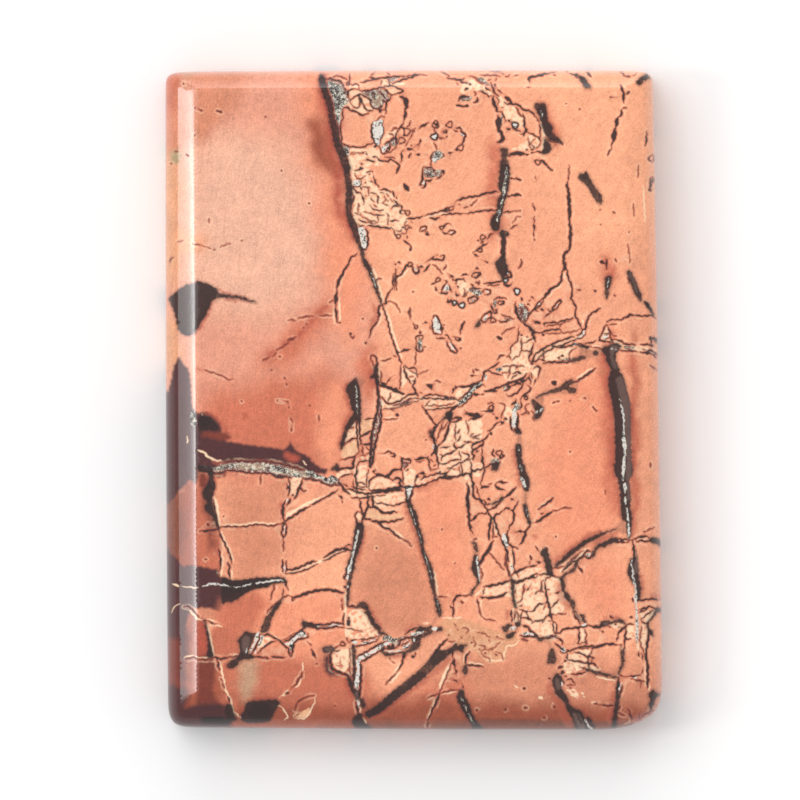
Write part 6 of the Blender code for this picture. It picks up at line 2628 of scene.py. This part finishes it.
class Paint:
    """A material being built. node() is the one way in which a node is added."""

    def __init__(self, name):
        self.material = bpy.data.materials.new(name)
        self.material.use_nodes = True
        self.tree = self.material.node_tree
        self.tree.nodes.clear()

    def node(self, kind, settings=None, inputs=None, output=0):
        """Adds a node, sets its settings, then gives its sockets values or links."""
        made = self.tree.nodes.new(kind)
        for name, value in (settings or {}).items():
            setattr(made, name, value)
        for key, value in (inputs or {}).items():
            if isinstance(value, Value):
                self.tree.links.new(value.socket, made.inputs[key])
            else:
                made.inputs[key].default_value = value
        return Value(self, made.outputs[output]) if made.outputs else made

    def number(self, name):
        """A number stored on the mesh."""
        return self.node("ShaderNodeAttribute", {"attribute_name": name}, output="Fac")

    def noise(self, place, scale, detail=2.0, roughness=0.5):
        """Soft noise from 0 to 1, with its features 1 / scale millimetres apart."""
        inputs = {"Vector": place, "Scale": scale, "Detail": detail, "Roughness": roughness}
        return self.node("ShaderNodeTexNoise", {"noise_dimensions": "3D"}, inputs)

    def stretched(self, place, scale, turn=0.0):
        """The place, turned about Z and divided by a size in millimetres on each axis."""
        inputs = {"Vector": place, "Scale": scale, "Rotation": (0.0, 0.0, turn)}
        return self.node("ShaderNodeMapping", {"vector_type": "TEXTURE"}, inputs)

    def step(self, value, low, high, start=0.0, end=1.0):
        """Goes smoothly from start to end as the value goes from low to high."""
        settings = {"interpolation_type": "SMOOTHSTEP"}
        inputs = {"Value": value, "From Min": low, "From Max": high, "To Min": start, "To Max": end}
        return self.node("ShaderNodeMapRange", settings, inputs)

    def mixed(self, share, first, second, blend="MIX"):
        """Two colours mixed by a share from 0 to 1."""
        settings = {"data_type": "RGBA", "blend_type": blend, "clamp_factor": True}
        inputs = {0: share, 6: first, 7: second}
        return self.node("ShaderNodeMix", settings, inputs, output=2)


def colour(name):
    """A named tint as a socket takes it."""
    return (*linear(*TINTS[name]), 1.0)


print("cream for a socket:", [round(float(value), 3) for value in colour("cream")])


# %% [markdown]
# ## The polished stone
#
# The layers go on from the widest to the finest: the ground with its mottling, the cream and
# quartz fillings, the pale lips beside the cracks, then the brown and dark lines. Each line's
# edge is roughened by noise on its distance, finer than the mesh could hold.

# %% Places and noises that every layer uses
MM_PER_METRE = 1000.0

# The edge of each kind of mark in pixels: how rough, how soft and how much thinner than traced
EDGES = {
    "cream": (0.5, 0.7, 0.0),
    "white": (0.5, 0.6, 0.2),
    "quartz": (0.6, 0.7, 0.0),
    "pale": (0.35, 0.8, 0.0),
    "seam": (0.7, 0.7, 0.0),
    "brown": (0.35, 0.7, 0.15),
    "dark": (0.45, 0.65, 0.25),
    "umber": (0.7, 1.0, 0.0),
}

paint = Paint("polished_mookaite")
metres = paint.node("ShaderNodeTexCoord", output="Object")
place = paint.node("ShaderNodeVectorMath", {"operation": "SCALE"}, {0: metres, "Scale": MM_PER_METRE})
fine = paint.noise(place, 9.0, 3.0, 0.6) - 0.5
small = paint.noise(place, 4.0, 3.0, 0.55) - 0.5
broad = paint.noise(place, 0.7, 4.0, 0.6) - 0.5
grain = paint.noise(place, 16.0, 2.0, 0.6) - 0.5


def cover(kind):
    """1 inside this kind of mark and 0 outside it, where gap + noise * rough goes past zero."""
    rough, soft, thinner = EDGES[kind]
    gap = paint.number(kind + "_gap") + thinner + fine * (2.0 * rough) + small * rough
    return paint.step(gap, -soft, soft, 1.0, 0.0)


print(len(paint.tree.nodes), "nodes for the place and the noises")


# %% The ground between the veins
# A scratch's width, length and depth in millimetres, and its turn in radians
STEEP_SCRATCH = (0.05, 1.3, 1.0), -0.10
SLANTING_SCRATCH = (0.06, 1.1, 1.0), -0.68
WORN_SCRATCH = (0.05, 1.0, 1.0), -0.35
LEFT_BLOCK_EDGE = (-5.5, -3.5)
SPECKLE_SHARE = 0.10

ground_tint = paint.node("ShaderNodeAttribute", {"attribute_name": "ground_colour"}, output="Color")
mottle = paint.noise(place, 2.6, 5.0, 0.62)
speckle = paint.step(grain, 0.16, 0.30)
steep = paint.noise(paint.stretched(place, *STEEP_SCRATCH), 1.0, 2.0)
slanting = paint.noise(paint.stretched(place, *SLANTING_SCRATCH), 1.0, 2.0)
across = paint.node("ShaderNodeSeparateXYZ", None, {0: place}, output="X")
left_block = paint.step(across, *LEFT_BLOCK_EDGE, 1.0, 0.0)
scratches = paint.step(steep, 0.52, 0.72) * left_block
scratches = scratches + paint.step(slanting, 0.54, 0.72) * (1.0 - left_block)
worn = paint.step(paint.noise(paint.stretched(place, *WORN_SCRATCH), 1.0, 2.0), 0.56, 0.74)
texture = (mottle - 0.5) * 0.45 + fine * 0.7 + grain * 0.6 + worn * 0.16 - scratches * 0.12
shade = 0.985 + broad * 0.38 + texture
tinted = paint.node("ShaderNodeVectorMath", {"operation": "SCALE"}, {0: ground_tint, "Scale": shade})
ground_now = paint.mixed(speckle * SPECKLE_SHARE, tinted, colour("cream"))
print(len(paint.tree.nodes), "nodes with the ground")

# %% The fillings: cream chert, quartz and white
CREAM_SHARE = 0.85

cream = cover("cream")
white = cover("white")
white_tint = paint.mixed(paint.step(small + fine, -0.16, -0.02), colour("quartz_grey"), colour("white"))
quartz = cover("quartz")
cream_tint = paint.mixed(paint.step(small, -0.06, 0.16), colour("cream"), ground_now)
quartz_grain = paint.noise(place, 5.0, 4.0, 0.8)
quartz_tint = paint.mixed(paint.step(quartz_grain, 0.45, 0.51), colour("umber"), colour("quartz_grey"))
quartz_tint = paint.mixed(paint.step(quartz_grain, 0.53, 0.58), quartz_tint, colour("quartz_pale"))
quartz_tint = paint.mixed(paint.step(grain, 0.09, 0.18), quartz_tint, colour("white"))
face = paint.mixed(cream * CREAM_SHARE, ground_now, cream_tint)
face = paint.mixed(quartz, face, quartz_tint)
print(len(paint.tree.nodes), "nodes with the fillings")

# %% The pale lips, the seams and the pale lines
LIP_SHARE = 0.30
PALE_SHARE = 0.85

dark_gap = paint.number("dark_gap")
brown_gap = paint.number("brown_gap")
nearest = dark_gap.at_most(brown_gap)
lip = paint.step(nearest + fine * 1.5, 0.4, 1.3) * paint.step(nearest + small * 1.5, 1.6, 3.2, 1.0, 0.0)
lip_here = paint.step(paint.noise(place, 1.3, 3.0), 0.38, 0.62)
face = paint.mixed(lip * (lip_here * LIP_SHARE), face, colour("cream"))
pale = cover("pale")
face = paint.mixed(pale * PALE_SHARE, face, colour("cream"))
seam = cover("seam")
print(len(paint.tree.nodes), "nodes with the lips and the pale lines")

# %% The brown and dark lines, with rust beside them
STAIN_SHARE = 0.6
RUST_SHARE = 0.6
BROWN_SHARE = 0.85
HALO_SHARE = 0.45
UMBER_SHARE = 0.95
ASH_SHARE = 0.75
WHITE_SHARE = 0.95
DARK_SHARE = 0.96

stain = paint.step(paint.number("stain_gap") + small * 5.0 + fine * 2.0, -2.5, 3.5, 1.0, 0.0)
stain_tint = paint.mixed(paint.step(stain, 0.35, 1.0), colour("terracotta"), colour("rust"))
face = paint.mixed(stain * STAIN_SHARE, face, stain_tint)
rust = paint.step(nearest + small * 2.0, -0.6, 1.9, 1.0, 0.0)
face = paint.mixed(rust * RUST_SHARE, face, colour("rust"))
brown = cover("brown")
brown_tint = paint.mixed(paint.step(small, -0.2, 0.2), colour("umber"), colour("brick"))
face = paint.mixed(brown * BROWN_SHARE, face, brown_tint)
dark_cover = cover("dark")
umber_cover = cover("umber")
halo = paint.step(paint.number("umber_gap") + small * 2.0, -0.5, 3.5, 1.0, 0.0)
face = paint.mixed(halo * HALO_SHARE, face, colour("maroon"))
dark_tint = paint.mixed(paint.step(fine + small, -0.25, 0.25), colour("ink"), colour("umber"))
face = paint.mixed(umber_cover * UMBER_SHARE, face, dark_tint)
ash = paint.step(paint.number("ash_gap") + small * 2.0, -1.5, 1.8, 1.0, 0.0)
face = paint.mixed(ash * ASH_SHARE, face, colour("ash"))
face = paint.mixed(seam, face, quartz_tint)
face = paint.mixed(white * WHITE_SHARE, face, white_tint)
face = paint.mixed(dark_cover * DARK_SHARE, face, dark_tint)
print(len(paint.tree.nodes), "nodes with the dark lines")

# %% The shader: a polish that the quartz and the cracks break a little
POLISHED = 0.16
CHERT_IOR = 1.54
BUMP_SHARE = 0.12
BUMP_HEIGHT = 0.03 * MM

polish = POLISHED + quartz * 0.10 + dark_cover * 0.10 + paint.noise(place, 0.9, 2.0) * 0.03
relief = (grain * 0.15 + small * 0.2) - dark_cover * 0.8 - brown * 0.5
bump_inputs = {"Strength": BUMP_SHARE, "Distance": BUMP_HEIGHT, "Height": relief}
bump = paint.node("ShaderNodeBump", None, bump_inputs)
shader_inputs = {"Base Color": face, "Roughness": polish, "Normal": bump, "IOR": CHERT_IOR}
shader = paint.node("ShaderNodeBsdfPrincipled", None, shader_inputs)
paint.node("ShaderNodeOutputMaterial", None, {"Surface": shader})
stone_mesh.materials.append(paint.material)
print(len(paint.tree.nodes), "nodes in the stone's material")

# %% [markdown]
# ## Floor and lights
#
# A polished stone is photographed in a tent of soft light. The floor and the world are almost
# white. Two lights stand at the left, about 47 degrees off the vertical. The left bevel leans by
# 24 degrees, so it mirrors them as a bright strip. The wide light gives the strip its body. The
# narrow one is its core, and it is rolled, so that the core lies further left at the stone's top
# than at its foot.

# %% A pale floor
FLOOR_SIDE = 3.0
FLOOR_COLOUR = (0.94, 0.94, 0.94, 1.0)
FLOOR_ROUGHNESS = 0.6

half = FLOOR_SIDE / 2.0
floor_corners = [(-half, -half, 0.0), (half, -half, 0.0), (half, half, 0.0), (-half, half, 0.0)]
floor_mesh = bpy.data.meshes.new("floor")
floor_mesh.from_pydata(floor_corners, [], [(0, 1, 2, 3)])
floor = bpy.data.objects.new("floor", floor_mesh)
bpy.context.scene.collection.objects.link(floor)
floor_paint = Paint("pale_floor")
floor_inputs = {"Base Color": FLOOR_COLOUR, "Roughness": FLOOR_ROUGHNESS}
floor_shader = floor_paint.node("ShaderNodeBsdfPrincipled", None, floor_inputs)
floor_paint.node("ShaderNodeOutputMaterial", None, {"Surface": floor_shader})
floor_mesh.materials.append(floor_paint.material)
print("the floor is", FLOOR_SIDE, "m wide")

# %% Soft studio light
# Each light's name, place and size in metres, power in watts and roll in radians
SOFT_BOXES = (
    ("key_box", (-0.55, 0.45, 1.05), (0.8, 0.8), 4.5, 0.0),
    ("top_panel", (0.0, 1.05, 0.42), (1.3, 0.40), 4.0, 0.0),
    ("left_strip", (-0.59, 0.0, 0.55), (0.14, 0.24), 0.38, 0.0),
    ("strip_core", (-0.585, 0.0, 0.56), (0.16, 0.035), 0.5, 0.84),
)
WORLD_STRENGTH = 0.73


def soft_box(name, place, size, power, roll):
    """A rectangular light that looks at the origin, turned about its own axis by the roll."""
    data = bpy.data.lights.new(name, "AREA")
    data.shape = "RECTANGLE"
    data.size, data.size_y = size
    data.energy = power
    light = bpy.data.objects.new(name, data)
    light.location = place
    aim = (-Vector(place)).to_track_quat("-Z", "Y")
    light.rotation_euler = (aim @ Quaternion((0.0, 0.0, 1.0), roll)).to_euler()
    bpy.context.scene.collection.objects.link(light)


for box in SOFT_BOXES:
    soft_box(*box)

world = bpy.data.worlds.new("studio")
world.use_nodes = True
background = world.node_tree.nodes["Background"]
background.inputs["Color"].default_value = (1.0, 1.0, 1.0, 1.0)
background.inputs["Strength"].default_value = WORLD_STRENGTH
bpy.context.scene.world = world
bpy.context.scene.view_settings.view_transform = "Standard"
print(len(SOFT_BOXES), "soft boxes and a world of strength", WORLD_STRENGTH)
